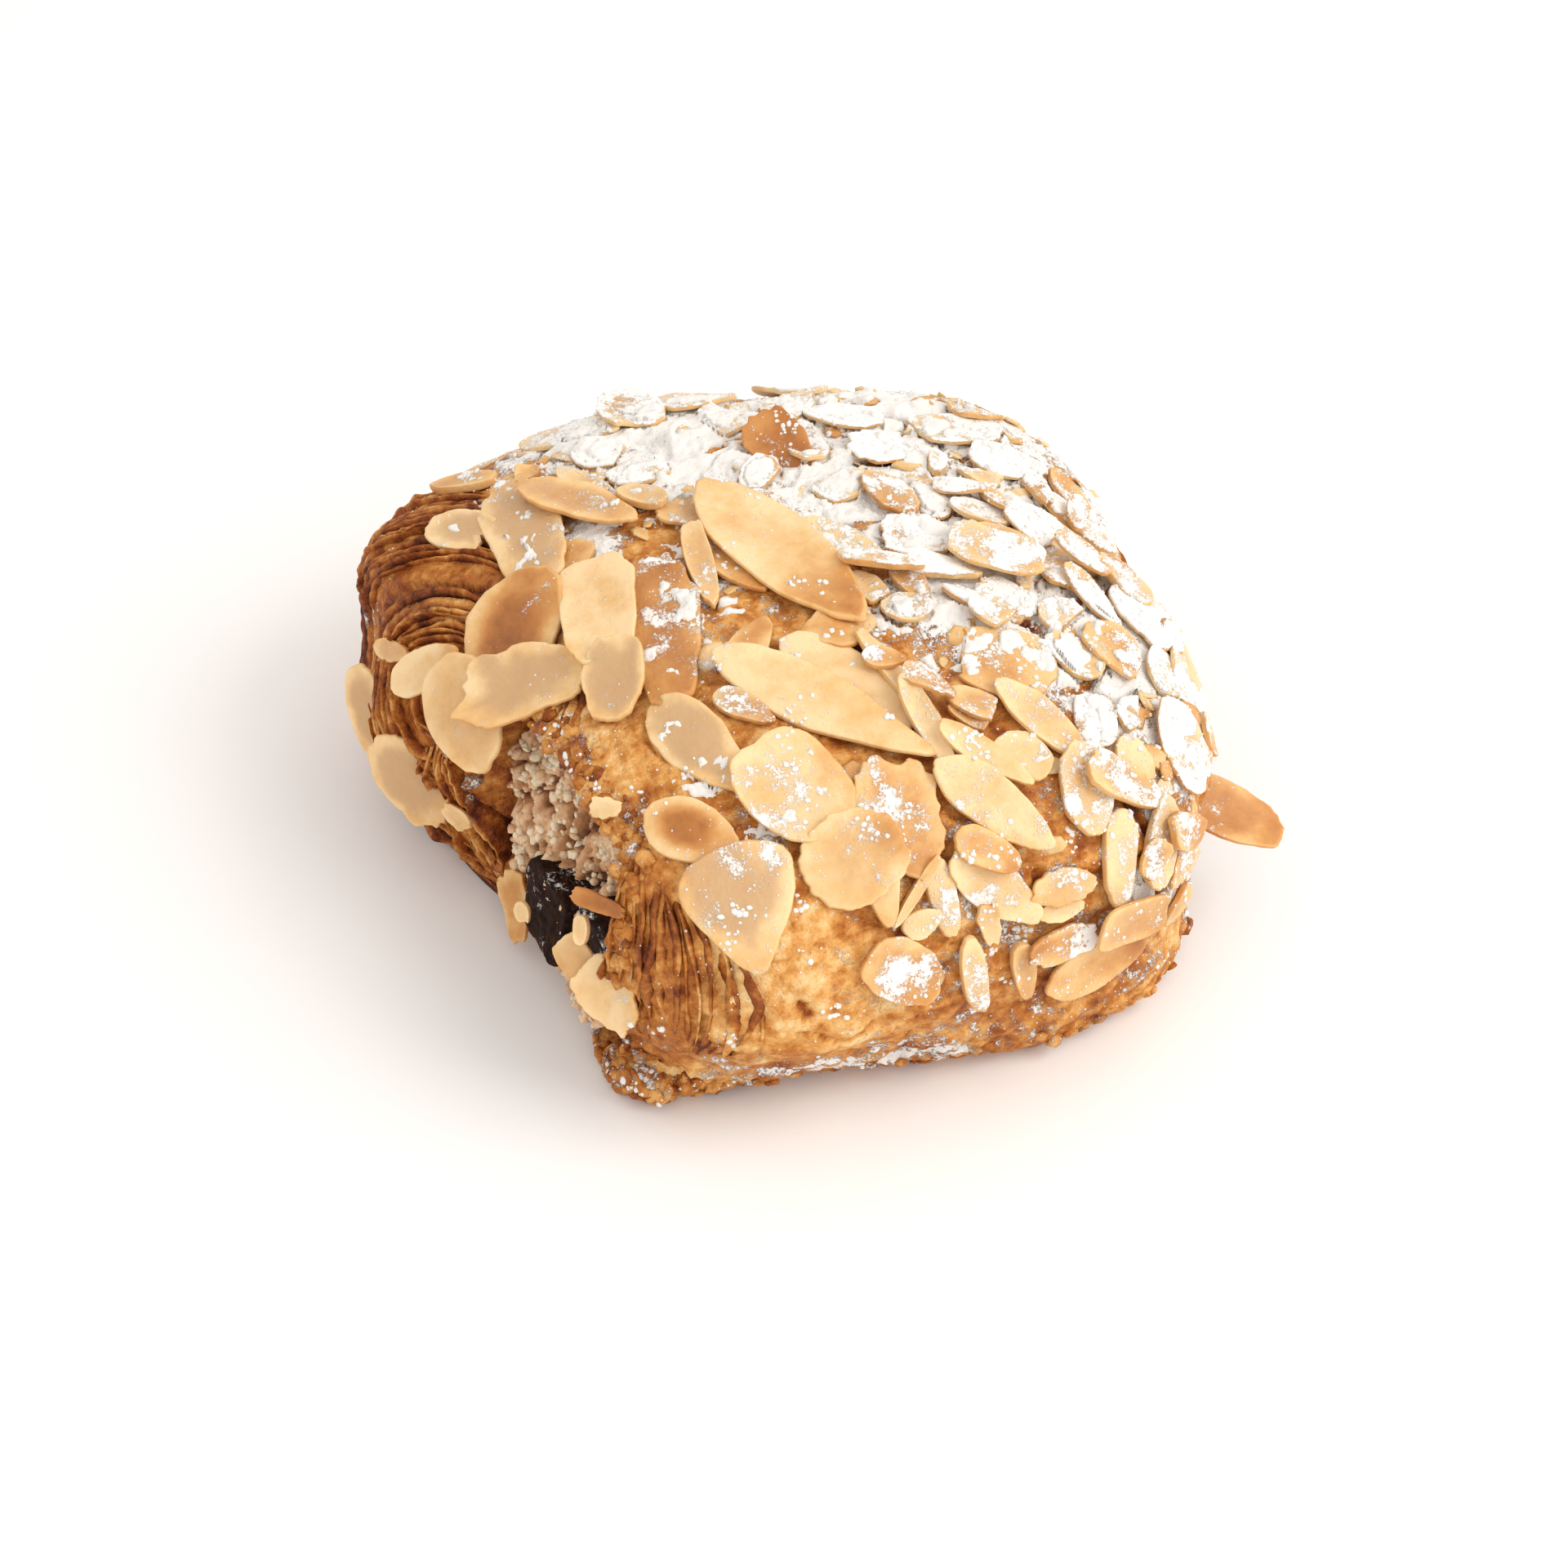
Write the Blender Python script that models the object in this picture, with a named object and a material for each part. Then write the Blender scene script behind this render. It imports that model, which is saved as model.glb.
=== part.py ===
"""Almond pain au chocolat, baked, with flaked almonds on it. Blender 4.5, metres, +Z up.

The roll runs along X and its open end faces -X. The filling and two chocolate batons run through it.
Sizes are given in millimetres and turned into metres as each mesh is made.
"""
import math
import random

import bmesh
import bpy
import numpy as np
from mathutils import Matrix, Vector
from mathutils.bvhtree import BVHTree

MM = 0.001

# The dough: a pillow, longer at the back (+Y) than at the front.
HALF_LENGTH = 47.5
HALF_WIDTH = 53.0
TOP_HEIGHT = 45.5
BELLY_HEIGHT = 17.0
BELLY_DEPTH = 28.0
PLAN_SQUARENESS = 3.6
SIDE_SQUARENESS = 2.6
BACK_SPREAD = 0.125
SWELL = 0.012
TOP_LEAN = 0.042
FRONT_TUCK = 0.20
FRONT_TUCK_END = 12.0
FRONT_TUCK_RUN = 24.0
MOST_TUCK = 1.1
FOOT_SPREAD = 0.035
FOOT_HEIGHT = 7.0
FOOT_CORNER = (-2.36, 3.7)
CORNER_REACH = 0.16
ORIGIN_SHIFT = (0.971, -0.006)
DOUGH_CUTS = 13

# The rolled layers that show at both ends, as spirals about (y, z).
COIL_RIDGE = 1.0
COILS = (
    # end, centre y, centre z, first radius, last radius, first angle, last angle
    (-1, 8.0, 30.0, 6.0, 9.0, -110, 170),
    (-1, 8.0, 30.0, 11.5, 12.5, -100, 160),
    (-1, 8.0, 30.0, 16.0, 17.0, -95, 130),
    (-1, 8.0, 30.0, 25.0, 26.0, -70, 100),
    (-1, 8.0, 30.0, 30.0, 31.0, -50, 85),
    (-1, 8.0, 30.0, 37.0, 38.5, -15, 62),
    (-1, 8.0, 30.0, 45.0, 46.5, -10, 50),
    (-1, -18.0, 18.0, 28.0, 28.0, 140, 215),
    (-1, -18.0, 18.0, 34.0, 34.0, 146, 205),
    (-1, -18.0, 18.0, 41.0, 41.0, 152, 195),
    (1, 25.0, 21.0, 5.0, 20.0, 210, -830),
    (1, -18.0, 18.0, 25.0, 29.0, 140, 220),
)
COIL_STEP = 22
COIL_FLATNESS = 0.9
COIL_LOWEST = 1.6

# Ends of the dough: bulges (+) and hollows (-) about (y, z), with their radius.
END_SHAPES = (
    # end, centre y, centre z, radius, height
    (-1, 18.0, 17.0, 9.0, 2.5),
    (-1, 33.0, 25.0, 9.0, -4.0),
    (-1, 4.0, 8.0, 12.0, -4.5),
    (-1, -16.0, 7.0, 14.0, -6.0),
    (-1, -37.0, 5.0, 9.0, -2.0),
    (-1, 42.0, 34.0, 14.0, 5.0),
    (1, 17.0, 36.0, 10.0, 2.0),
    (1, -20.0, 27.0, 13.0, 8.5),
    (1, -38.0, 12.0, 13.0, -3.0),
    (1, 48.0, 30.0, 14.0, 2.5),
)

# A swelling of the top: its centre in plan, radius and height.
TOP_SWELL = (-5.0, 42.0, 13.0, 2.0)

# The channel through the roll, and what fills it.
CHANNEL_CENTRE = (-16.5, 19.5)
CHANNEL_HALF_WIDTH = 17.5
CHANNEL_HALF_HEIGHT = 16.0
CHANNEL_SQUARENESS = 3.6
CHANNEL_SIDES = 24
MOUTH_SPREAD = 1.22
MOUTH_START = 39.0
GAP = 0.35
FILLING_RINGS = (-37.0, 0.0, 38.0)
FILLING_LEAN = (0.47, -0.30)
FILLING_MOST_OUT = 2.5
BATON_SIZE = (10.0, 13.0)
BATON_PLACES = ((-14.6, 12.6, 0.0), (-26.4, 14.2, -4.0))
BATON_ENDS = ((-43.5, 43.0), (-38.5, 42.0))
BATON_ROUNDING = 2.0

# Flaked almonds, as from one tip to the other and the width, largest and topmost last.
FLAKE_THICKNESS = 1.5
FLAKE_SIDES = 7
FLAKE_BITE = 0.45
MOST_SLOPE = 0.35
DROP_FROM = 12.0
DROP_REACH = 26.0
DEEPEST_REST = -2.0
NEAR_END_FLAKES = (
    ((-35, 43, 37), (-28, 37, 41), 3.5), ((-27, 35, 42), (-24, 34, 42), 4),
    ((-30, 33, 43), (-32, 8, 45), 10),
    ((-22, 32, 44), (-18, 19, 46), 4), ((-17, 22, 46), (-13, 16, 47), 4), ((-28, 29, 44), (-18, 14, 47), 8),
    ((-51, 16, 28), (-44, 9, 37), 6), ((-50, 24, 28), (-49, 17, 32), 3), ((-45, 9, 36), (-46, -5, 29), 12),
    ((-43, 4, 37), (-30, 9, 45), 14), ((-18, 5, 46), (-25, -18, 45), 10), ((-25, 8, 45), (-30, -9, 43), 10),
    ((-27, -8, 44), (-32, -17, 42), 8.5), ((-45, 2, 34), (-32, -8, 43), 10),
    ((-20, -21, 46), (-15, -28, 45), 4), ((-27, -18, 45), (-22, -35, 43), 8),
    ((-33, -32, 40), (-25, -42, 39), 8), ((-19, -31, 45), (-13, -44, 40), 13),
    ((-26, -41, 40), (-26, -52, 29), 14),
)
TOP_FLAKES = (
    ((-4, 43, 42), (8, 46, 41), 8), ((33, 30, 40), (40, 27, 38), 7), ((16, 22, 45), (24, 18, 44), 8),
    ((29, 16, 43), (39, 13, 39), 8), ((14, 32, 43), (23, 27, 43), 8), ((-18, 34, 42), (-11, 29, 43), 7),
    ((0, 20, 46), (4, 16, 46), 7.5), ((22, 11, 45), (20, 2, 45), 5), ((31, 4, 43), (38, -8, 39), 6),
    ((37, -7, 39), (40, -16, 38), 5.5), ((36, 7, 41), (43, -2, 36), 4.5),
    ((29, -6, 43), (25, -13, 44), 2.5),
    ((20, -11, 45), (24, -18, 43), 6), ((5, -6, 46), (7, -13, 46), 4), ((11, -5, 46), (12, -13, 46), 4),
    ((2, 6, 47), (10, -4, 46), 5.5), ((6, -13, 46), (12, -15, 46), 5.5), ((26, -16, 43), (29, -21, 42), 7),
    ((24, -22, 43), (28, -29, 41), 6.5), ((31, -20, 41), (31, -30, 40), 8),
    ((22, -3, 45), (26, -8, 44), 4.5),
    ((-12, 10, 47), (-7, -5, 47), 5.5), ((-12, 9, 47), (-14, -5, 46), 3.5),
    ((-8, -15, 47), (1, -33, 44), 9.5),
    ((-18, -16, 48), (2, -38, 42), 8), ((-7, 16, 47), (2, -15, 47), 12), ((1, -17, 47), (5, -35, 43), 3),
    ((2, -27, 45), (4, -39, 41), 3),
)
FRONT_FLAKES = (
    ((40, -19, 38), (41, -27, 35), 5.5), ((37, -24, 38), (36, -32, 37), 5),
    ((41, -32, 33), (42, -35, 28), 5),
    ((35, -31, 37), (34, -42, 30), 9), ((27, -37, 38), (27, -44, 34), 5), ((14, -29, 44), (22, -41, 39), 5),
    ((12, -36, 42), (15, -42, 39), 7), ((4, -34, 43), (13, -43, 39), 4),
    ((23, -46, 35), (20, -53, 26), 4.5),
    ((31, -44, 33), (25, -51, 26), 5.5), ((10, -52, 27), (18, -51, 28), 3),
    ((2, -38, 42), (13, -49, 34), 6.5),
    ((0, -47, 36), (10, -53, 27), 6.5), ((-3, -36, 43), (-6, -49, 35), 11),
    ((-9, -43, 40), (-10, -52, 31), 4.5), ((-10, -42, 40), (-15, -50, 34), 11.5),
    ((-2, -47, 36), (-2, -53, 28), 3.5),
    ((-8, -52, 30), (-3, -51, 31), 3.5), ((-2, -47, 36), (-9, -52, 31), 1.5),
    ((0, -53, 28), (1, -54, 17), 3.5),
    ((7, -53, 25), (8, -54, 16), 3), ((-13, -53, 30), (-5, -55, 22), 8), ((11, -54, 16), (25, -52, 18), 9),
)
# Flakes that stand clear of the dough: tips, width and the way each one faces.
STANDING_FLAKES = (
    ((5, 27, 49), (8, 17, 43), 7.5, (-0.3, -0.6, 0.75)),
    ((40, -10, 38), (41, -24, 37), 8, (0.45, -0.15, 0.88)),
    ((43, -21, 36), (39, -38, 28), 8, (0.75, -0.35, 0.55)),
    ((38, -33, 22), (51, -38, 14), 8, (0.2, -0.45, 0.85)),
    ((-51, 26, 25), (-51, 18, 13), 7, (-0.8, -0.35, 0.5)),
    ((-52, 14, 22), (-47, 6, 12), 9, (-0.7, -0.45, 0.55)),
    ((-43, -29, 22), (-41, -35, 19), 4.5, (-0.6, -0.5, 0.6)),
    ((-41, -34, 22), (-39, -42, 17), 7, (-0.7, -0.5, 0.5)),
)
FILLER_COUNT = 28
FILLER_TRIES = 40
FILLER_SEED = 7
FILLER_LENGTH = (9.0, 17.0)
FILLER_WIDTH_SHARE = (0.45, 0.68)
BARE_STEEPNESS = 0.4
BARE_FRONT = 36.0
BARE_BACK = 18.0

COLOURS = {
    "pastry": ((0.56, 0.24, 0.06, 1.0), 0.62),
    "almond_filling": ((0.62, 0.42, 0.24, 1.0), 0.85),
    "chocolate": ((0.03, 0.012, 0.006, 1.0), 0.35),
}


def clear_scene():
    for thing in list(bpy.data.objects):
        bpy.data.objects.remove(thing, do_unlink=True)


def new_collection(name):
    collection = bpy.data.collections.new(name)
    bpy.context.scene.collection.children.link(collection)
    return collection


def principled(name):
    colour, roughness = COLOURS[name]
    material = bpy.data.materials.new(name)
    material.use_nodes = True
    shader = material.node_tree.nodes["Principled BSDF"]
    shader.inputs["Base Color"].default_value = colour
    shader.inputs["Roughness"].default_value = roughness
    shader.inputs["Metallic"].default_value = 0.0
    return material


def add_object(name, bm, collection, material=None):
    """Turn a bmesh in millimetres into an object in metres."""
    bmesh.ops.scale(bm, vec=(MM, MM, MM), verts=bm.verts)
    bmesh.ops.recalc_face_normals(bm, faces=bm.faces)
    bmesh.ops.triangulate(bm, faces=bm.faces)
    mesh = bpy.data.meshes.new(name)
    bm.to_mesh(mesh)
    bm.free()
    thing = bpy.data.objects.new(name, mesh)
    collection.objects.link(thing)
    if material:
        mesh.materials.append(material)
    return thing


def dough_surface(directions):
    """Points of the dough's skin, one for each direction from the middle of its belly."""
    d = directions / np.linalg.norm(directions, axis=1, keepdims=True)
    plan = np.abs(d[:, 0] / HALF_LENGTH) ** PLAN_SQUARENESS + np.abs(d[:, 1] / HALF_WIDTH) ** PLAN_SQUARENESS
    depth = np.where(d[:, 2] > 0, TOP_HEIGHT - BELLY_HEIGHT, BELLY_DEPTH)
    size = plan ** (SIDE_SQUARENESS / PLAN_SQUARENESS) + np.abs(d[:, 2] / depth) ** SIDE_SQUARENESS
    bearing = np.arctan2(d[:, 1], d[:, 0])
    swell = np.sin(3 * bearing + 1.1) + np.sin(5 * bearing - 0.6 + 2 * d[:, 2])
    p = d * (size ** (-1 / SIDE_SQUARENESS) * (1 + SWELL * swell * (1 - d[:, 2] ** 2)))[:, None]
    p[:, 2] = np.maximum(p[:, 2] + BELLY_HEIGHT, 0.0)
    p[:, 0] *= 1 + BACK_SPREAD * p[:, 1] / HALF_WIDTH
    p[:, 2] *= 1 - TOP_LEAN * p[:, 0] / HALF_LENGTH
    under = np.clip(1 - p[:, 2] / BELLY_HEIGHT, 0, 1) * np.clip(-p[:, 1] / HALF_WIDTH, 0, 1)
    p[:, 1] *= 1 - FRONT_TUCK * under * np.clip((FRONT_TUCK_END - p[:, 0]) / FRONT_TUCK_RUN, 0, MOST_TUCK)
    waves = 1 + 0.35 * np.sin(7 * bearing) + 0.25 * np.sin(13 * bearing)
    corner = FOOT_CORNER[1] * np.exp(-((bearing - FOOT_CORNER[0]) / CORNER_REACH) ** 2)
    foot = np.clip(1 - p[:, 2] / FOOT_HEIGHT, 0, 1) * (waves + corner)
    p[:, :2] *= (1 + FOOT_SPREAD * foot)[:, None]
    for end, y, z, radius, height in END_SHAPES:
        facing = np.clip((end * p[:, 0] - 0.45 * HALF_LENGTH) / (0.45 * HALF_LENGTH), 0, 1)
        reach = np.exp(-((p[:, 1] - y) ** 2 + (p[:, 2] - z) ** 2) / radius ** 2)
        p[:, 0] += end * height * facing * reach
    x, y, radius, height = TOP_SWELL
    upper = np.clip(p[:, 2] / BELLY_HEIGHT - 1, 0, 1)
    p[:, 2] += height * upper * np.exp(-((p[:, 0] - x) ** 2 + (p[:, 1] - y) ** 2) / radius ** 2)
    return p


def dough_point(spot):
    """The skin's point that lies towards a spot, and its outward normal."""
    aim = np.array(spot, float)
    aim[0] /= 1 + BACK_SPREAD * aim[1] / HALF_WIDTH
    aim[2] -= BELLY_HEIGHT
    side = np.cross(aim, (0.0, 0.0, 1.0)) + np.array((1e-6, 0.0, 0.0))
    side /= np.linalg.norm(side)
    rise = np.cross(side, aim)
    rise /= np.linalg.norm(rise)
    points = dough_surface(np.array([aim, aim + side, aim - side, aim + rise, aim - rise]))
    normal = Vector(np.cross(points[3] - points[4], points[1] - points[2])).normalized()
    return Vector(points[0]), normal


def make_dough(collection, material):
    bm = bmesh.new()
    bmesh.ops.create_cube(bm, size=2.0)
    bmesh.ops.subdivide_edges(bm, edges=bm.edges[:], cuts=DOUGH_CUTS, use_grid_fill=True)
    cube = np.array([v.co[:] for v in bm.verts])
    points = dough_surface(cube * (HALF_LENGTH, HALF_WIDTH, TOP_HEIGHT - BELLY_HEIGHT))
    for vert, point in zip(bm.verts, points):
        vert.co = point
    underside = [face for face in bm.faces if max(vert.co.z for vert in face.verts) < 0.01]
    bmesh.ops.dissolve_faces(bm, faces=underside, use_verts=True)
    return add_object("pastry", bm, collection, material)


def coil_ribbon(number, coil, collection):
    """A rolled dough layer: a ridge that winds outwards over the end of the roll."""
    end, y, z, first_radius, last_radius, first_angle, last_angle = coil
    count = int(abs(last_angle - first_angle) / COIL_STEP)
    curve = bpy.data.curves.new(f"coil_{number}", "CURVE")
    curve.dimensions = "3D"
    curve.bevel_depth = COIL_RIDGE * MM
    curve.bevel_resolution = 0
    curve.use_fill_caps = True
    spline = curve.splines.new("POLY")
    spline.points.add(count)
    for index in range(count + 1):
        share = index / count
        angle = math.radians(first_angle + (last_angle - first_angle) * share)
        radius = first_radius + (last_radius - first_radius) * share
        height = z + COIL_FLATNESS * radius * math.sin(angle)
        spot = (end * HALF_LENGTH, y + radius * math.cos(angle), height)
        point, normal = dough_point(spot)
        point.z = max(point.z, COIL_LOWEST)
        spline.points[index].co = (*(point * MM), 1.0)
    tube = bpy.data.objects.new(f"coil_{number}", curve)
    collection.objects.link(tube)
    shaped = tube.evaluated_get(bpy.context.evaluated_depsgraph_get())
    mesh = bpy.data.meshes.new_from_object(shaped)
    bm = bmesh.new()
    bm.from_mesh(mesh)
    bmesh.ops.remove_doubles(bm, verts=bm.verts, dist=1e-6)
    bmesh.ops.triangulate(bm, faces=bm.faces)
    bm.to_mesh(mesh)
    bm.free()
    solid = bpy.data.objects.new(f"coil_{number}_solid", mesh)
    solid.matrix_world = tube.matrix_world.copy()
    collection.objects.link(solid)
    bpy.data.objects.remove(tube, do_unlink=True)
    return solid


def almond_outline(share, broken, rng):
    """Reach of a flake's edge at a share of the turn: a pointed oval, or one that snapped across."""
    angle = 2 * math.pi * share
    along = math.cos(angle)
    across = math.sin(angle) * (1 - 0.22 * along) * (1 - 0.15 * along * along)
    if broken:
        along = min(along, 0.45 + rng.uniform(-0.2, 0.2) - 0.1 * math.cos(2 * angle))
        across *= 1 + rng.uniform(-0.12, 0.12)
    return along, across


def flake_mesh(length, width, broken, rng):
    bm = bmesh.new()
    bmesh.ops.create_cone(bm, cap_ends=True, segments=FLAKE_SIDES, radius1=1, radius2=0.9,
                          depth=FLAKE_THICKNESS)
    bend = rng.uniform(-0.8, 0.8)
    outline = [almond_outline(number / FLAKE_SIDES, broken, rng) for number in range(FLAKE_SIDES)]
    for vert in bm.verts:
        turn = math.atan2(vert.co.y, vert.co.x) / (2 * math.pi)
        along, across = outline[round(turn * FLAKE_SIDES) % FLAKE_SIDES]
        inset = Vector((vert.co.x, vert.co.y)).length
        cupped = vert.co.z + bend * along * across
        vert.co = (0.5 * length * along * inset, 0.5 * width * across * inset, cupped)
    return bm


def settle(bm, placing, ground):
    """Rest a flake on the dough and on the flakes below it, tilting it little."""
    normal = placing.to_3x3() @ Vector((0, 0, 1))
    rows, heights = [], []
    for vert in [*(v.co for v in bm.verts), Vector((0, 0, 0))]:
        foot = Vector((vert.x, vert.y, 0))
        start = placing @ foot + normal * DROP_FROM
        reached = [tree.ray_cast(start, -normal, DROP_REACH) for tree in ground]
        tops = [DROP_FROM - hit[3] for hit in reached if hit[0] is not None]
        if tops:
            rows.append((foot.x, foot.y, 1.0))
            heights.append(max(max(tops), DEEPEST_REST))
    rows, heights = np.array(rows), np.array(heights)
    slopes = np.clip(np.linalg.lstsq(rows, heights, rcond=None)[0][:2], -MOST_SLOPE, MOST_SLOPE)
    touching = np.max(heights - rows[:, :2] @ slopes)
    tilt = Matrix.Translation((0, 0, touching + 0.5 * FLAKE_THICKNESS - FLAKE_BITE))
    tilt[2][0], tilt[2][1] = slopes
    return placing @ tilt


def placing_between(tip_a, tip_b, normal):
    along = (tip_b - tip_a).normalized()
    across = normal.cross(along).normalized()
    up = along.cross(across)
    placing = Matrix((along, across, up)).transposed().to_4x4()
    placing.translation = (tip_a + tip_b) / 2
    return placing


def flake_rows():
    """Every flake that lies on the dough: its tips, width and whether it snapped."""
    whole = NEAR_END_FLAKES + TOP_FLAKES + FRONT_FLAKES
    rows = [(Vector(a), Vector(b), width, False) for a, b, width in whole]
    rng = random.Random(FILLER_SEED)
    centres = [(a + b) / 2 for a, b, width, broken in rows]
    fillers = []
    while len(fillers) < FILLER_COUNT:
        best, best_gap = None, -1.0
        for _ in range(FILLER_TRIES):
            bearing = rng.uniform(-math.pi, math.pi)
            rise = math.asin(rng.uniform(-0.12, 1.0))
            spot = Vector((math.cos(rise) * math.cos(bearing) * 50, math.cos(rise) * math.sin(bearing) * 50,
                           math.sin(rise) * 30 + BELLY_HEIGHT))
            point, normal = dough_point(spot)
            if is_bare(point, normal):
                continue
            gap = min((point - centre).length for centre in centres)
            if gap > best_gap:
                best, best_gap = (point, normal), gap
        point, normal = best
        heading = rng.uniform(0, math.pi)
        level = Vector((0, 0, 1)).cross(normal)
        level = level.normalized() if level.length > 0.05 else Vector((1, 0, 0))
        along = level * math.cos(heading) + normal.cross(level) * math.sin(heading)
        length = rng.uniform(*FILLER_LENGTH)
        width = length * rng.uniform(*FILLER_WIDTH_SHARE)
        centres.append(point)
        fillers.append((point - along * length / 2, point + along * length / 2, width, rng.random() < 0.5))
    return fillers + rows


def is_bare(point, normal):
    """True where no filler lies: both open ends, the front's side, and close to the table."""
    return abs(normal.x) > BARE_STEEPNESS or point.z < (BARE_FRONT if point.y < 0 else BARE_BACK)


def lay_flakes(dough, collection, rng):
    dough_shape = bmesh.new()
    dough_shape.from_mesh(dough.data)
    bmesh.ops.scale(dough_shape, vec=(1 / MM, 1 / MM, 1 / MM), verts=dough_shape.verts)
    trees = [(Vector((0, 0, 0)), 999.0, BVHTree.FromBMesh(dough_shape))]
    dough_shape.free()
    for number, (tip_a, tip_b, width, broken) in enumerate(flake_rows()):
        middle, normal = dough_point((tip_a + tip_b) / 2)
        length = (tip_b - tip_a).length
        bm = flake_mesh(length, width, broken, rng)
        placing = placing_between(tip_a, tip_b, normal)
        placing.translation = middle
        near = [tree for centre, reach, tree in trees if (centre - middle).length < reach + length / 2]
        bmesh.ops.transform(bm, matrix=settle(bm, placing, near), verts=bm.verts)
        trees.append((middle, length / 2, BVHTree.FromBMesh(bm)))
        add_object(f"flake_{number:03d}", bm, collection)


def stand_flakes(collection, rng):
    for number, (tip_a, tip_b, width, facing) in enumerate(STANDING_FLAKES):
        length = (Vector(tip_b) - Vector(tip_a)).length
        bm = flake_mesh(length, width, False, rng)
        placing = placing_between(Vector(tip_a), Vector(tip_b), Vector(facing).normalized())
        bmesh.ops.transform(bm, matrix=placing, verts=bm.verts)
        add_object(f"standing_flake_{number}", bm, collection)


def channel_solid(name, rings, shrink, leaning, collection, material=None):
    """A rounded bar along X with the channel's section at each ring, wider at the mouths of the roll."""
    bm = bmesh.new()
    bmesh.ops.create_cone(bm, cap_ends=True, segments=CHANNEL_SIDES, radius1=1, radius2=1, depth=2)
    lengthways = [edge for edge in bm.edges if abs(edge.verts[0].co.z - edge.verts[1].co.z) > 1]
    bmesh.ops.subdivide_edges(bm, edges=lengthways, cuts=len(rings) - 2)
    y, z = CHANNEL_CENTRE
    for vert in bm.verts:
        angle = math.atan2(vert.co.y, vert.co.x)
        power = 2 / CHANNEL_SQUARENESS
        across = math.copysign(abs(math.cos(angle)) ** power, math.cos(angle))
        rise = math.copysign(abs(math.sin(angle)) ** power, math.sin(angle))
        ring = round((vert.co.z + 1) / 2 * (len(rings) - 1))
        x = rings[ring]
        spread = (MOUTH_SPREAD if x < -MOUTH_START else 1.0) + 0.03 * math.sin(5 * angle)
        side = across * (CHANNEL_HALF_WIDTH * spread - shrink)
        height = rise * (CHANNEL_HALF_HEIGHT * min(spread, 1.03) - shrink)
        if ring in (0, len(rings) - 1):
            lean = FILLING_LEAN[0] * height + FILLING_LEAN[1] * side + 0.8 * math.sin(3 * angle + x)
            x += math.copysign(leaning, -x) * max(lean, -FILLING_MOST_OUT)
        vert.co = (x, y + side, z + height)
    return add_object(name, bm, collection, material)


def baton(name, place, ends, grow, collection, material=None):
    """A chocolate baton: a rounded bar with rough ends, tilted a little about its length."""
    y, z, roll = place
    bm = bmesh.new()
    bmesh.ops.create_cube(bm, size=1.0)
    long_edges = [edge for edge in bm.edges if abs(edge.verts[0].co.x - edge.verts[1].co.x) > 0.5]
    for vert in bm.verts:
        middle, reach = (ends[0] + ends[1]) / 2, ends[1] - ends[0]
        slant = 1.5 * vert.co.z - 1.0 * vert.co.y
        vert.co = (middle + reach * vert.co.x + slant, vert.co.y * (BATON_SIZE[0] + 2 * grow),
                   vert.co.z * (BATON_SIZE[1] + 2 * grow))
    bmesh.ops.bevel(bm, geom=long_edges, offset=BATON_ROUNDING, segments=3, affect="EDGES", profile=0.5)
    turn = Matrix.Translation((0, y, z)) @ Matrix.Rotation(math.radians(roll), 4, "X")
    bmesh.ops.transform(bm, matrix=turn, verts=bm.verts)
    return add_object(name, bm, collection, material)


def apply_boolean(thing, operation, solver="EXACT", other=None, group=None):
    modifier = thing.modifiers.new(operation.lower(), "BOOLEAN")
    modifier.operation = operation
    modifier.solver = solver
    if group:
        modifier.operand_type = "COLLECTION"
        modifier.collection = group
    else:
        modifier.object = other
    shaped = thing.evaluated_get(bpy.context.evaluated_depsgraph_get())
    mesh = bpy.data.meshes.new_from_object(shaped)
    thing.modifiers.remove(modifier)
    thing.data = mesh


def fuse(thing, toppings):
    """Unite the thing with everything in a collection, and remove the collection."""
    apply_boolean(thing, "UNION", solver="MANIFOLD", group=toppings)
    for topping in list(toppings.objects):
        bpy.data.objects.remove(topping, do_unlink=True)
    bpy.data.collections.remove(toppings)


def keep_outer_body(thing):
    """Drop what fusing left over: loose scraps, and the walls of hollows that were sealed in."""
    bm = bmesh.new()
    bm.from_mesh(thing.data)
    bmesh.ops.triangulate(bm, faces=bm.faces)
    unseen = set(bm.faces)
    bodies = []
    while unseen:
        stack = [unseen.pop()]
        body = list(stack)
        while stack:
            for edge in stack.pop().edges:
                for face in edge.link_faces:
                    if face in unseen:
                        unseen.discard(face)
                        stack.append(face)
                        body.append(face)
        bodies.append(body)
    bodies.sort(key=len)
    scraps = [face for body in bodies[:-1] for face in body]
    bmesh.ops.delete(bm, geom=scraps, context="FACES")
    bm.to_mesh(thing.data)
    bm.free()


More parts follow.
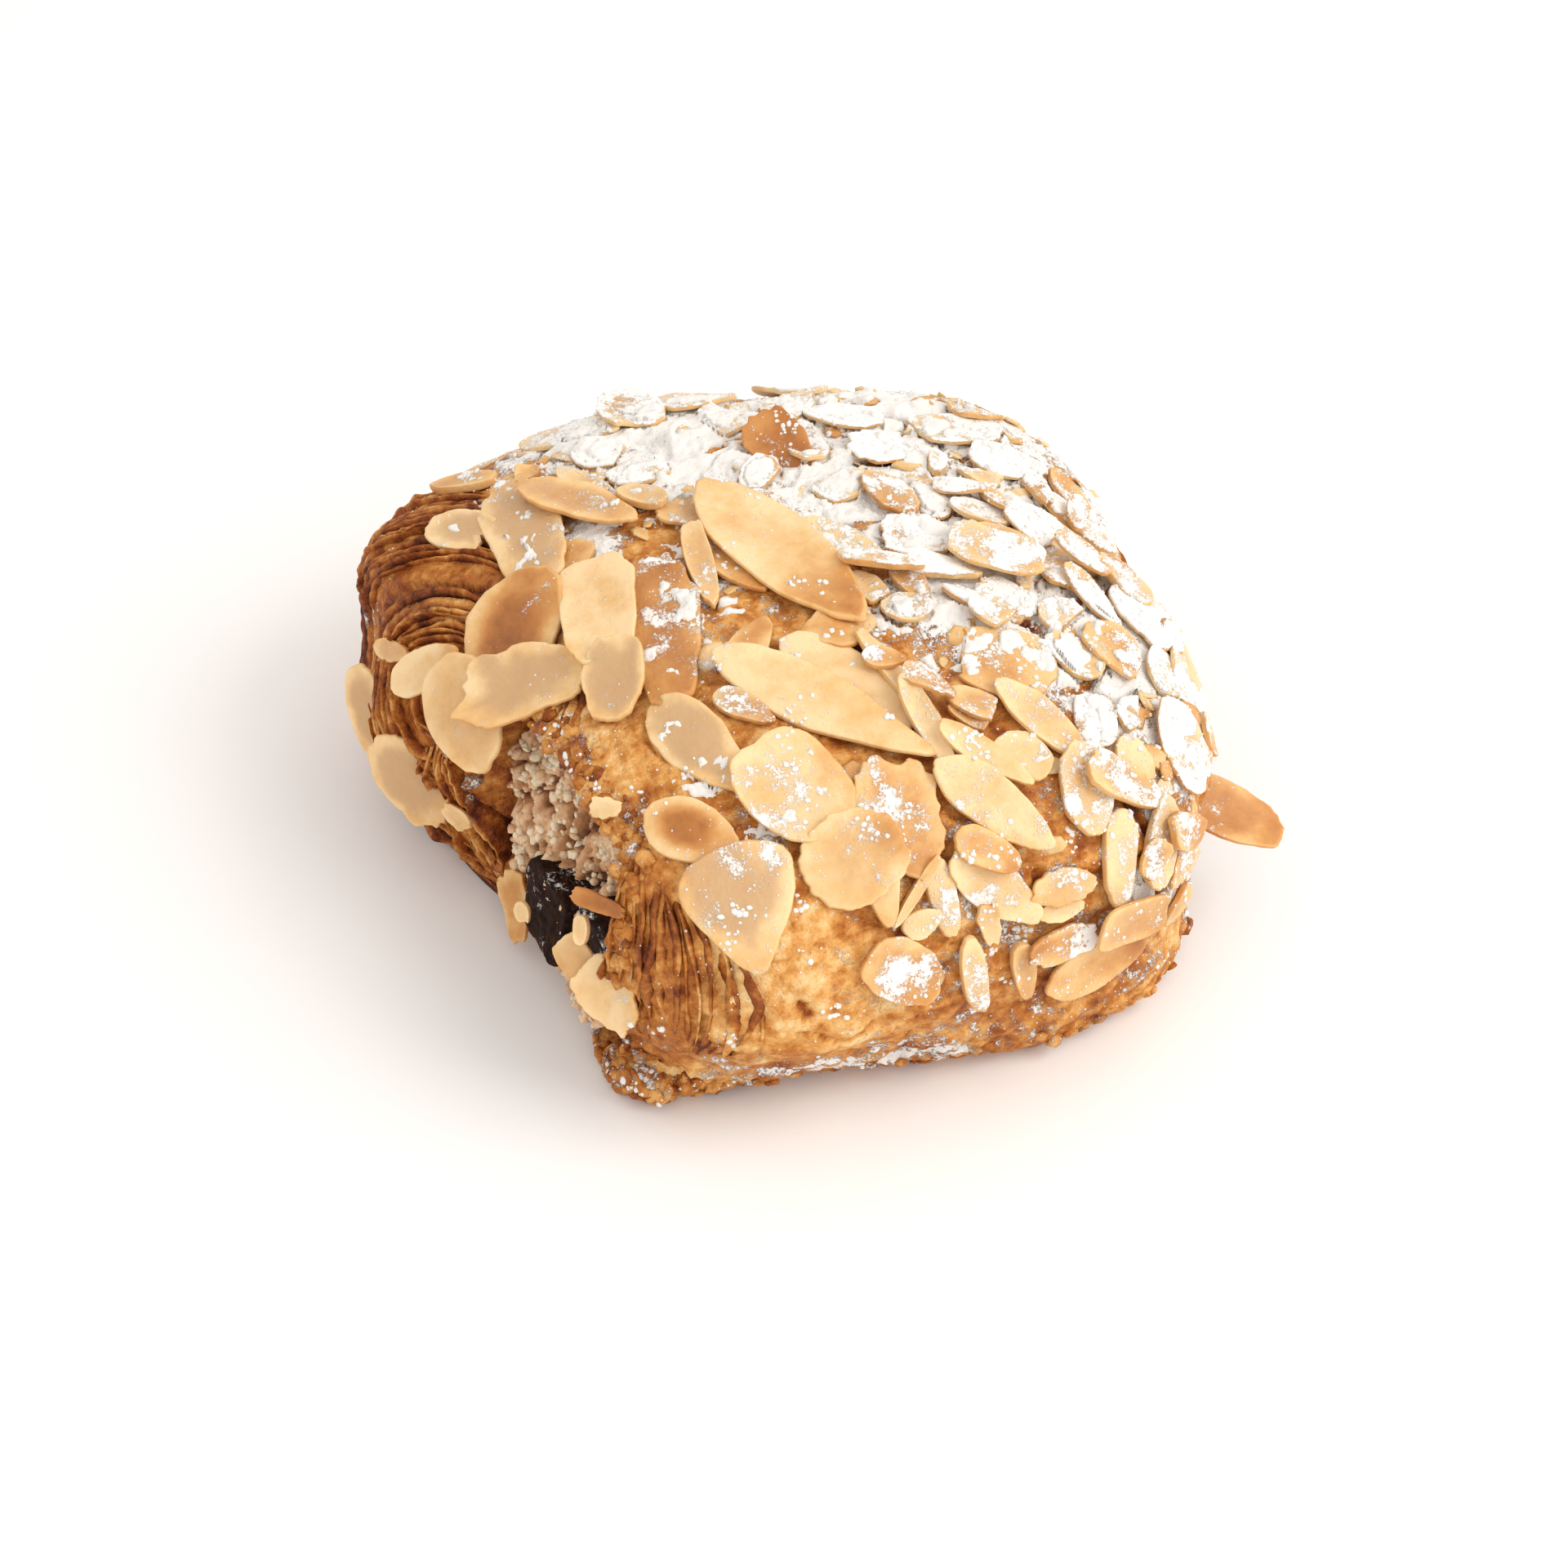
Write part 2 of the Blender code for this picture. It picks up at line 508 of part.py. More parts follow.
def build():
    clear_scene()
    parts = new_collection("almond_pain_au_chocolat")
    cutters = new_collection("cutters")
    lying = new_collection("lying_flakes_and_coils")
    standing = new_collection("standing_flakes")

    pastry = make_dough(parts, principled("pastry"))
    rng = random.Random(FILLER_SEED + 1)
    lay_flakes(pastry, lying, rng)
    stand_flakes(standing, rng)
    for number, coil in enumerate(COILS):
        coil_ribbon(number, coil, lying)
    fuse(pastry, lying)

    reach = HALF_LENGTH + 20
    rings = (-reach, -HALF_LENGTH, -MOUTH_START, MOUTH_START, HALF_LENGTH, reach)
    channel = channel_solid("channel", rings, 0.0, 0.0, cutters)
    apply_boolean(pastry, "DIFFERENCE", solver="MANIFOLD", other=channel)
    fuse(pastry, standing)
    keep_outer_body(pastry)

    filling = channel_solid("almond_filling", FILLING_RINGS, GAP, 1.0, parts, principled("almond_filling"))
    chocolate = principled("chocolate")
    for number, (place, ends) in enumerate(zip(BATON_PLACES, BATON_ENDS), 1):
        hole = baton(f"baton_hole_{number}", place, (-reach, reach), GAP, cutters)
        apply_boolean(filling, "DIFFERENCE", solver="MANIFOLD", other=hole)
        baton(f"chocolate_baton_{number}", place, ends, 0.0, parts, chocolate)
    keep_outer_body(filling)

    for solid in parts.objects:
        solid.data.transform(Matrix.Translation((ORIGIN_SHIFT[0] * MM, ORIGIN_SHIFT[1] * MM, 0)))
    for cutter in cutters.objects:
        cutter.hide_render = True
        cutter.display_type = "WIRE"


build()
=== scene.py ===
import math
import random

import bpy
import numpy as np
from mathutils import Matrix, Vector
from mathutils.bvhtree import BVHTree


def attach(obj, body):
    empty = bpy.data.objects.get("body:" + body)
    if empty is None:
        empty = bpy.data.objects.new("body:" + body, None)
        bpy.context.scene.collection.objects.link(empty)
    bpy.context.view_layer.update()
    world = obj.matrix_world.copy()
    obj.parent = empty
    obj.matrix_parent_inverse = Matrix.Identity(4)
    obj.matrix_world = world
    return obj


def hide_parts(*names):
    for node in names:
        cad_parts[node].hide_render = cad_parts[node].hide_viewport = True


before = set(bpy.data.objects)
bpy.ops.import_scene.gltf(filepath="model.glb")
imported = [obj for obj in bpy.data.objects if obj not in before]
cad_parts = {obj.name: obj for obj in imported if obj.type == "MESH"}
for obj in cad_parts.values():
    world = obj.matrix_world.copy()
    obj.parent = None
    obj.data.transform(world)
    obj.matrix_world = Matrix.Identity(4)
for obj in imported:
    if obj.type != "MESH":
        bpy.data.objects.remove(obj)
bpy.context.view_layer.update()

# Shapes are worked out in millimetres and become metres in newPiece.
mm = 0.001
originShift = np.array([0.971, -0.006, 0.0])


# Numbers and noise, as whole arrays.
hashPrimes = (73856093, 19349663, 83492791)    # spread a lattice's corners over the random table
tableSize = 4096                               # a power of two, so that a mask can take the remainder


def smoothStep(values):
    # 3t^2 - 2t^3, with t held between 0 and 1
    t = np.clip(values, 0.0, 1.0)
    return t * t * (3 - 2 * t)


def latticeNoise(points, size, seed):
    # a random value at each corner of a lattice of that size, blended by the smooth step, from -1 to 1
    table = np.random.default_rng(seed).uniform(-1, 1, tableSize)
    spots = points / size
    corner = np.floor(spots).astype(np.int64)
    share = smoothStep(spots - corner)
    total = np.zeros(len(points))
    for step in np.ndindex(2, 2, 2):
        hashed = (corner + step) * hashPrimes
        key = hashed[:, 0] ^ hashed[:, 1] ^ hashed[:, 2]
        weight = np.prod(np.where(step, share, 1 - share), axis=1)
        total += table[key & (tableSize - 1)] * weight
    return total


def cloudNoise(points, size, seed, octaves=3):
    # lattice noise at one size, plus half as much at half the size, and so on; each use has its own seed
    total = sum(latticeNoise(points, size / 2 ** k, seed + k) / 2 ** k for k in range(octaves))
    return total / (2 - 0.5 ** (octaves - 1))


def noiseAt(points, rule, seed, octaves=3):
    # a noise of the rule's size, times the rule's depth
    size, depth = rule
    return depth * cloudNoise(points, size, seed, octaves)


def ridgeNoise(points, size, seed, sharp=2.0, octaves=3):
    # 1 along the lines where a noise passes through zero, less and less away from them
    return 1 - sharp * np.abs(cloudNoise(points, size, seed, octaves))


def unit(vectors, leastLength=1e-9):
    # each vector at length 1; one shorter than the least length stays short
    return vectors / np.maximum(np.linalg.norm(vectors, axis=-1, keepdims=True), leastLength)


# Meshes, each held as points, triangles and marks.

def closedFaces(rows, columns):
    # triangles of a closed form: rings of points from one pole to the other, with the poles numbered last
    ring = np.arange(columns)
    after = (ring + 1) % columns
    first = np.arange(rows - 1)[:, None] * columns
    a, b, c, d = first + ring, first + columns + ring, first + columns + after, first + after
    walls = np.concatenate([np.stack([a, b, c], -1), np.stack([a, c, d], -1)]).reshape(-1, 3)
    top = np.stack([np.full(columns, rows * columns), ring, after], 1)
    last = (rows - 1) * columns
    bottom = np.stack([last + ring, np.full(columns, rows * columns + 1), last + after], 1)
    return np.concatenate([walls, top, bottom])


def shellLattice(count):
    # the outside of a cube lattice from -1 to 1: corners shared by all six sides, and triangles facing out
    number = np.full((count + 1,) * 3, -1)
    steps = np.indices(number.shape)
    outside = ((steps == 0) | (steps == count)).any(axis=0)
    number[outside] = np.arange(outside.sum())
    corners = np.stack([step[outside] for step in steps], 1) * 2.0 / count - 1
    faces = []
    for axis in range(3):
        for end in (0, count):
            sheet = np.take(number, end, axis=axis)
            a, b, c, d = sheet[:-1, :-1], sheet[1:, :-1], sheet[1:, 1:], sheet[:-1, 1:]
            both = np.concatenate([np.stack([a, b, c], -1), np.stack([a, c, d], -1)]).reshape(-1, 3)
            faces.append(both[:, ::-1] if (end == 0) ^ (axis == 1) else both)
    return corners, np.concatenate(faces)


def facingOut(points, faces):
    # the same faces, turned over if the volume they hold comes out below zero
    a, b, c = points[faces[:, 0]], points[faces[:, 1]], points[faces[:, 2]]
    return faces if np.einsum("ij,ij->", a, np.cross(b, c)) > 0 else faces[:, ::-1]


def vertexNormals(points, faces):
    # at each point, the sum of its faces' normals, each as long as twice the face's area
    a, b, c = points[faces[:, 0]], points[faces[:, 1]], points[faces[:, 2]]
    across = np.cross(b - a, c - a)
    total = np.zeros_like(points)
    for corner in range(3):
        for axis in range(3):
            total[:, axis] += np.bincount(faces[:, corner], across[:, axis], len(points))
    return unit(total)


def joined(forms):
    # several forms of (points, faces, marks) as one, with the faces renumbered
    points, faces, start = [], [], 0
    for form in forms:
        points.append(form[0])
        faces.append(form[1] + start)
        start += len(form[0])
    marks = {key: np.concatenate([form[2][key] for form in forms]) for key in forms[0][2]}
    return np.concatenate(points), np.concatenate(faces), marks


ground = []    # what sugar and crumbs can land on


def newPiece(name, form, material, standsFor=(), isGround=True):
    points, faces, marks = form
    mesh = bpy.data.meshes.new(name)
    mesh.vertices.add(len(points))
    mesh.vertices.foreach_set("co", ((points + originShift) * mm).astype(np.float32).ravel())
    mesh.loops.add(faces.size)
    mesh.loops.foreach_set("vertex_index", faces.astype(np.int32).ravel())
    mesh.polygons.add(len(faces))
    mesh.polygons.foreach_set("loop_start", np.arange(0, faces.size, 3, dtype=np.int32))
    mesh.polygons.foreach_set("use_smooth", np.ones(len(faces), bool))
    mesh.update(calc_edges=True)
    for key, values in marks.items():
        mark = mesh.attributes.new(key, "FLOAT", "POINT")
        mark.data.foreach_set("value", np.asarray(values, np.float32))
    mesh.materials.append(material)
    piece = bpy.data.objects.new(name, mesh)
    bpy.context.scene.collection.objects.link(piece)
    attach(piece, "root")
    if standsFor:
        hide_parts(*standsFor)
    if isGround:
        ground.append((points, faces))
    print(name, len(faces), "triangles")
    return piece


# The dough's form, the same as the solid's.
dough = dict(halfLength=47.5, halfWidth=53.0, topHeight=45.5, bellyHeight=17.0, bellyDepth=28.0,
             planSquareness=3.6, sideSquareness=2.6, backSpread=0.125, swell=0.012, topLean=0.042,
             frontTuck=0.20, frontTuckEnd=12.0, frontTuckRun=24.0, mostTuck=1.1,
             footSpread=0.035, footHeight=7.0, footCorner=-2.36, cornerSize=3.7, cornerReach=0.16,
             topSwell=(-5.0, 42.0, 13.0, 2.0), endFrom=0.45,
             swellWaves=((3, 1.1, 0.0), (5, -0.6, 2.0)),    # turns, phase, twist with height
             footWaves=((7, 0.35), (13, 0.25)))             # turns, height
endShapes = (
    # end, centre y, centre z, radius, height
    (-1, 18.0, 17.0, 9.0, 2.5), (-1, 33.0, 25.0, 9.0, -4.0), (-1, 4.0, 8.0, 12.0, -4.5),
    (-1, -16.0, 7.0, 14.0, -6.0), (-1, -37.0, 5.0, 9.0, -2.0), (-1, 42.0, 34.0, 14.0, 5.0),
    (1, 17.0, 36.0, 10.0, 2.0), (1, -20.0, 27.0, 13.0, 8.5), (1, -38.0, 12.0, 13.0, -3.0),
    (1, 48.0, 30.0, 14.0, 2.5),
)


def doughSurface(directions):
    # a superellipse in plan, blended with a flatter one in height, cut off at the table, then leant,
    # tucked in under the front, spread at the foot, and pushed in or out at both ends
    d = unit(directions)
    plan = np.abs(d[:, 0] / dough["halfLength"]) ** dough["planSquareness"]
    plan = plan + np.abs(d[:, 1] / dough["halfWidth"]) ** dough["planSquareness"]
    depth = np.where(d[:, 2] > 0, dough["topHeight"] - dough["bellyHeight"], dough["bellyDepth"])
    size = plan ** (dough["sideSquareness"] / dough["planSquareness"])
    size = size + np.abs(d[:, 2] / depth) ** dough["sideSquareness"]
    bearing = np.arctan2(d[:, 1], d[:, 0])
    swell = sum(np.sin(turns * bearing + phase + twist * d[:, 2])
                for turns, phase, twist in dough["swellWaves"])
    reach = size ** (-1 / dough["sideSquareness"]) * (1 + dough["swell"] * swell * (1 - d[:, 2] ** 2))
    x, y, z = (d * reach[:, None]).T
    z = np.maximum(z + dough["bellyHeight"], 0.0)
    x = x * (1 + dough["backSpread"] * y / dough["halfWidth"])
    z = z * (1 - dough["topLean"] * x / dough["halfLength"])
    under = np.clip(1 - z / dough["bellyHeight"], 0, 1) * np.clip(-y / dough["halfWidth"], 0, 1)
    y = y * (1 - dough["frontTuck"] * under
             * np.clip((dough["frontTuckEnd"] - x) / dough["frontTuckRun"], 0, dough["mostTuck"]))
    waves = 1
    for turns, height in dough["footWaves"]:
        waves = waves + height * np.sin(turns * bearing)
    corner = dough["cornerSize"] * np.exp(-((bearing - dough["footCorner"]) / dough["cornerReach"]) ** 2)
    foot = 1 + dough["footSpread"] * np.clip(1 - z / dough["footHeight"], 0, 1) * (waves + corner)
    x, y = x * foot, y * foot
    endFrom = dough["endFrom"] * dough["halfLength"]
    for end, centreY, centreZ, radius, height in endShapes:
        facing = np.clip((end * x - endFrom) / endFrom, 0, 1)
        x = x + end * height * facing * np.exp(-((y - centreY) ** 2 + (z - centreZ) ** 2) / radius ** 2)
    centreX, centreY, radius, height = dough["topSwell"]
    upper = np.clip(z / dough["bellyHeight"] - 1, 0, 1)
    z = z + height * upper * np.exp(-((x - centreX) ** 2 + (y - centreY) ** 2) / radius ** 2)
    return np.stack([x, y, z], 1)


def onSkin(spots):
    # the skin's points that lie towards these spots from the belly, and the outward normals there, from the
    # steps across and up the skin; the tiny number gives a spot straight above the belly a side of its own
    aim = np.array(spots, float).reshape(-1, 3)
    aim[:, 0] /= 1 + dough["backSpread"] * aim[:, 1] / dough["halfWidth"]
    aim[:, 2] -= dough["bellyHeight"]
    side = unit(np.cross(aim, (0.0, 0.0, 1.0)) + (1e-6, 0.0, 0.0))
    rise = unit(np.cross(side, aim))
    middle = doughSurface(aim)
    across = np.cross(doughSurface(aim + rise) - doughSurface(aim - rise),
                      doughSurface(aim + side) - doughSurface(aim - side))
    return middle, unit(across)


# The open middle of both ends, where the filling shows.
mouth = dict(centreY=-16.5, centreZ=19.5, halfWidth=17.5, halfHeight=16.0, squareness=3.6,
             nearSpread=1.13, farSpread=1.0, depth=13.0, faceX=-37.0, leanZ=0.47, leanY=-0.30,
             mostOut=2.5, farX=38.0, endFrom=33.0, endRun=6.0, ragged=(5.0, 0.05), soft=0.12)


def mouthReach(points):
    # 0 in the middle of the roll's open middle, 1 at its edge
    y = np.abs(points[:, 1] - mouth["centreY"]) / mouth["halfWidth"]
    z = np.abs(points[:, 2] - mouth["centreZ"]) / mouth["halfHeight"]
    return (y ** mouth["squareness"] + z ** mouth["squareness"]) ** (1 / mouth["squareness"])


# Powdered sugar: heavy on the top towards +X and +Y, thin on the sides, none underneath.
sugarSpots = (
    # x, y, z, radius, strength
    (11.0, -17.0, 45.0, 8.0, 0.45), (20.0, -24.0, 43.0, 7.0, 0.35),
    (-35.0, -39.0, 26.0, 3.0, 0.9), (-32.5, -42.5, 25.5, 3.0, 0.9), (-37.5, -38.0, 20.0, 3.0, 0.9),
    (-35.0, -44.0, 15.0, 3.0, 0.9), (-46.0, 34.0, 27.0, 6.0, 1.1),
    (-9.0, 2.6, 45.0, 6.0, 0.4), (-23.0, 15.0, 44.0, 6.0, 0.5),
    (-19.0, -47.0, 5.0, 8.0, 0.55), (-7.0, -48.0, 5.0, 8.0, 0.6), (-38.0, -39.0, 4.0, 8.0, 0.35),
    (-30.0, -48.0, 14.0, 6.0, 0.2), (-6.0, 30.0, 44.0, 18.0, 0.3), (-14.0, 42.0, 38.0, 12.0, 0.4),
    (0.0, -48.0, 24.0, 9.0, 0.35), (24.0, -46.0, 24.0, 11.0, 0.48), (-16.0, -37.0, 43.0, 5.0, 0.30),
    (-22.0, -42.0, 38.0, 4.0, 0.40), (-9.0, -41.0, 40.0, 5.0, 0.25), (-19.0, 2.0, 46.0, 5.0, 0.30),
    (4.0, -44.0, 38.0, 8.0, 0.15), (32.0, -30.0, 38.0, 9.0, 0.25), (-12.0, -8.0, 46.0, 5.0, 0.25),
)
# Cracks in the crust, where no sugar lies: each runs through a few points of the skin.
cracks = (
    ((26, 5, 43), (30, 0, 41), (32, -6, 40), (35, -10, 39), (32, -15, 40)),
    ((14, 18, 44), (19, 17, 43), (22, 18, 43)), ((26, 15, 43), (31, 14, 42), (35, 12, 40)),
    ((19, -15, 43), (23, -18, 42), (25, -22, 42)), ((1, -17, 45), (2, -26, 44), (5, -31, 43)),
    ((25, -44, 33), (28, -47, 27), (26, -50, 21)), ((11, -49, 31), (12, -51, 27)),
    ((-2, 26, 45), (5, 29, 45), (10, 27, 44)), ((16, 34, 42), (24, 36, 40), (30, 34, 40)),
    ((38, 20, 38), (42, 12, 36), (45, 10, 32)), ((-24, 38, 41), (-16, 40, 40)),
    ((-18, -45, 34), (-22, -50, 27), (-20, -53, 22)),
)
crackLooks = dict(width=0.75, core=1.5, wander=0.9, wanderSize=5.0,
                  fine=0.945, fineSize=11.0, fineStretch=(1.0, 1.6, 1.0), fineSoft=0.05, fineDepth=0.5)


def crackDepth(points):
    # 1 along each crack's line and 0 away from it, and finer ones where a stretched noise passes zero
    wander = np.stack([cloudNoise(points, crackLooks["wanderSize"], 400 + axis) for axis in range(3)], 1)
    spots = points + wander * crackLooks["wander"]
    depth = np.zeros(len(points))
    for line in cracks:
        for first, second in zip(line[:-1], line[1:]):
            start, along = np.array(first, float), np.subtract(second, first).astype(float)
            share = np.clip((spots - start) @ along / (along @ along), 0, 1)
            gap = np.linalg.norm(spots - start - share[:, None] * along, axis=1)
            depth = np.maximum(depth, np.clip(crackLooks["core"] - gap / crackLooks["width"], 0, 1))
    line = 1 - np.abs(cloudNoise(points * crackLooks["fineStretch"], crackLooks["fineSize"], 410, 2))
    fine = smoothStep((line - crackLooks["fine"]) / crackLooks["fineSoft"])
    return np.maximum(depth, crackLooks["fineDepth"] * fine)


sugarRule = dict(acrossX=0.8, acrossY=0.5, rampFrom=-8.0, rampRun=16.0, flatFrom=-0.05, flatRun=0.6,
                 patchSize=9.0, onRamp=0.08, onFlat=0.70, rampPatches=0.36, thin=0.24, thinPatches=0.12,
                 frontY=-30.0, front=0.24, footZ=14.0, foot=0.10, crackLoss=0.75,
                 faceFrom=-0.75, faceRun=0.5)


def sugarCover(points, normals):
    # how much of the surface is white: a ramp across the top, faded where the surface turns down,
    # never less than a thin dusting, with more at the spots, and broken by patches and by the cracks
    x, y, z = points.T
    rule = sugarRule
    ramp = np.clip((rule["acrossX"] * x + rule["acrossY"] * y - rule["rampFrom"]) / rule["rampRun"], 0, 1)
    flat = np.clip((normals[:, 2] - rule["flatFrom"]) / rule["flatRun"], 0, 1)
    patches = cloudNoise(points, rule["patchSize"], 420)
    cover = ramp * (rule["onRamp"] + rule["onFlat"] * flat) + rule["rampPatches"] * patches * ramp
    cover = np.maximum(cover, rule["thin"] * flat + rule["thinPatches"] * patches)
    low = rule["front"] * (y < rule["frontY"]) + rule["foot"] * (z < rule["footZ"])
    cover = np.maximum(cover, low + rule["thinPatches"] * patches)
    for spotX, spotY, spotZ, radius, strength in sugarSpots:
        gap = (x - spotX) ** 2 + (y - spotY) ** 2 + (z - spotZ) ** 2
        cover = cover + strength * np.exp(-gap / radius ** 2)
    cover = cover * (1 - rule["crackLoss"] * crackDepth(points))
    return np.clip(cover * smoothStep((normals[:, 2] - rule["faceFrom"]) / rule["faceRun"]), 0, 1)


# Shader parts.

def addNode(tree, kind, **values):
    made = tree.nodes.new(kind)
    for key, value in values.items():
        setattr(made, key, value)
    return made


def feed(tree, source, target):
    tree.links.new(source, target)


def noiseNode(tree, coordinates, scale, detail, rough):
    noise = addNode(tree, "ShaderNodeTexNoise")
    noise.inputs["Scale"].default_value = scale
    noise.inputs["Detail"].default_value = detail
    noise.inputs["Roughness"].default_value = rough
    feed(tree, coordinates, noise.inputs["Vector"])
    return noise.outputs["Fac"]


def mathNode(tree, operation, first, second=0.0, third=0.0):
    made = addNode(tree, "ShaderNodeMath", operation=operation)
    for socket, value in zip(made.inputs, (first, second, third)):
        if isinstance(value, (int, float)):
            socket.default_value = value
        else:
            feed(tree, value, socket)
    return made.outputs[0]


def mixNode(tree, share, first, second):
    # a colour mix: its sockets 6 and 7 and its output 2 are the ones for colours
    made = addNode(tree, "ShaderNodeMix", data_type="RGBA")
    for socket, value in zip((made.inputs[0], made.inputs[6], made.inputs[7]), (share, first, second)):
        if isinstance(value, (int, float)):
            socket.default_value = value
        elif isinstance(value, tuple):
            socket.default_value = (*value, 1.0)
        else:
            feed(tree, value, socket)
    return made.outputs[2]


def rampNode(tree, source, stops):
    made = addNode(tree, "ShaderNodeValToRGB")
    ramp = made.color_ramp
    while len(ramp.elements) < len(stops):
        ramp.elements.new(0.5)
    for element, (place, colour) in zip(ramp.elements, stops):
        element.position = place
        element.color = (*colour, 1.0)
    feed(tree, source, made.inputs["Fac"])
    return made.outputs["Color"]


def markNode(tree, name):
    made = addNode(tree, "ShaderNodeAttribute", attribute_name=name)
    return made.outputs["Fac"]


def objectCoordinates(tree):
    return addNode(tree, "ShaderNodeTexCoord").outputs["Object"]


def newGroup(name, inputs, outputs):
    group = bpy.data.node_groups.new(name, "ShaderNodeTree")
    for label, kind, value in inputs:
        socket = group.interface.new_socket(label, in_out="INPUT", socket_type=kind)
        socket.default_value = value
    for label, kind in outputs:
        group.interface.new_socket(label, in_out="OUTPUT", socket_type=kind)
    return group, addNode(group, "NodeGroupInput"), addNode(group, "NodeGroupOutput")


def noiseSet(tree, looks, names=("patch", "mottle", "fine")):
    # the finish's own noises, each with a scale, a detail and a roughness
    place = objectCoordinates(tree)
    return {name: noiseNode(tree, place, *looks[name][:3]) for name in names if name in looks}


def addNoises(tree, value, looks, noises):
    # the value plus each noise times its strength, after its middle is taken from it
    for name, noise in noises.items():
        strength, middle = looks[name][3:]
        centred = mathNode(tree, "MULTIPLY_ADD", noise, strength, -strength * middle)
        value = mathNode(tree, "ADD", value, centred)
    return value


# Noises in these dicts: scale, detail, roughness, strength, middle.
sugarLooks = dict(colour=(0.86, 0.84, 0.81), coverGain=1.45, coverFrom=-0.80, edge=(-0.12, 0.22),
                  dryness=0.35, height=0.8, blotch=(230.0, 2.0, 0.55, 1.7, 0.5),
                  clump=(700.0, 2.0, 0.55, 1.0, 0.5), grain=(2600.0, 2.0, 0.7, 1.3, 0.5))


def makeSugarGroup():
    # white where the cover plus three sizes of noise passes a soft threshold
    group, given, result = newGroup(
        "sugarDust",
        [("Under Color", "NodeSocketColor", (0.5, 0.3, 0.1, 1.0)),
         ("Under Roughness", "NodeSocketFloat", 0.5),
         ("Cover", "NodeSocketFloat", 0.0)],
        [("Color", "NodeSocketColor"), ("Roughness", "NodeSocketFloat"), ("Mask", "NodeSocketFloat")])
    noises = noiseSet(group, sugarLooks, ("blotch", "clump", "grain"))
    total = mathNode(group, "MULTIPLY_ADD", given.outputs["Cover"], sugarLooks["coverGain"],
                     sugarLooks["coverFrom"])
    total = addNoises(group, total, sugarLooks, noises)
    spread = addNode(group, "ShaderNodeMapRange", interpolation_type="SMOOTHSTEP")
    spread.inputs["From Min"].default_value, spread.inputs["From Max"].default_value = sugarLooks["edge"]
    feed(group, total, spread.inputs["Value"])
    mask = spread.outputs["Result"]
    colour = mixNode(group, mask, given.outputs["Under Color"], sugarLooks["colour"])
    feed(group, colour, result.inputs["Color"])
    rough = mathNode(group, "MULTIPLY_ADD", mask, sugarLooks["dryness"], given.outputs["Under Roughness"])
    feed(group, rough, result.inputs["Roughness"])
    feed(group, mask, result.inputs["Mask"])
    return group


def newMaterial(name):
    material = bpy.data.materials.new(name)
    material.use_nodes = True
    tree = material.node_tree
    return material, tree, tree.nodes["Principled BSDF"]


def giveValue(tree, value, socket):
    # a plain number goes on the socket itself, and anything else is linked to it
    if isinstance(value, float):
        socket.default_value = value
    else:
        feed(tree, value, socket)


bumpStrength = 0.8


def finishMaterial(tree, shader, colour, roughness, height, bumpDepth, cover=None):
    # sugar over the colour, and one bump from the height and the sugar together
    if cover is not None:
        dust = addNode(tree, "ShaderNodeGroup", node_tree=sugarDust)
        feed(tree, colour, dust.inputs["Under Color"])
        giveValue(tree, roughness, dust.inputs["Under Roughness"])
        feed(tree, cover, dust.inputs["Cover"])
        colour, roughness = dust.outputs["Color"], dust.outputs["Roughness"]
        height = mathNode(tree, "MULTIPLY_ADD", dust.outputs["Mask"], sugarLooks["height"], height)
    feed(tree, colour, shader.inputs["Base Color"])
    giveValue(tree, roughness, shader.inputs["Roughness"])
    bump = addNode(tree, "ShaderNodeBump")
    bump.inputs["Distance"].default_value = bumpDepth
    bump.inputs["Strength"].default_value = bumpStrength
    feed(tree, height, bump.inputs["Height"])
    feed(tree, bump.outputs["Normal"], shader.inputs["Normal"])


socketNames = dict(specular="Specular IOR Level", subsurface="Subsurface Weight", radius="Subsurface Radius",
                   depth="Subsurface Scale")


def setShader(shader, **values):
    for key, value in values.items():
        shader.inputs[socketNames[key]].default_value = value


sugarDust = makeSugarGroup()

crustLooks = dict(
    stops=((0.0, (0.86, 0.60, 0.29)), (0.25, (0.73, 0.37, 0.105)), (0.5, (0.50, 0.175, 0.028)),
           (0.75, (0.27, 0.064, 0.009)), (1.0, (0.085, 0.017, 0.004))),
    patch=(150.0, 3.0, 0.55, 0.80, 0.5), mottle=(600.0, 4.0, 0.6, 0.90, 0.5),
    fine=(2200.0, 3.0, 0.6, 0.35, 0.5), fineHeight=0.4, roughFrom=0.38, roughSpread=0.35, bump=0.0008,
    shader=dict(specular=0.25, subsurface=0.08, depth=0.001))


def makeCrust():
    material, tree, shader = newMaterial("bakedCrust")
    noises = noiseSet(tree, crustLooks)
    # the mark holds the crust's bake and, in the coil's gap, the open middle and the leaves' roots, painted
    # shade
    bakeAndShade = addNoises(tree, markNode(tree, "bakeAndShade"), crustLooks, noises)
    colour = rampNode(tree, bakeAndShade, crustLooks["stops"])
    height = mathNode(tree, "MULTIPLY_ADD", noises["fine"], crustLooks["fineHeight"], noises["mottle"])
    rough = mathNode(tree, "MULTIPLY_ADD", noises["mottle"], crustLooks["roughSpread"],
                     crustLooks["roughFrom"])
    finishMaterial(tree, shader, colour, rough, height, crustLooks["bump"], markNode(tree, "sugar"))
    setShader(shader, **crustLooks["shader"])
    return material


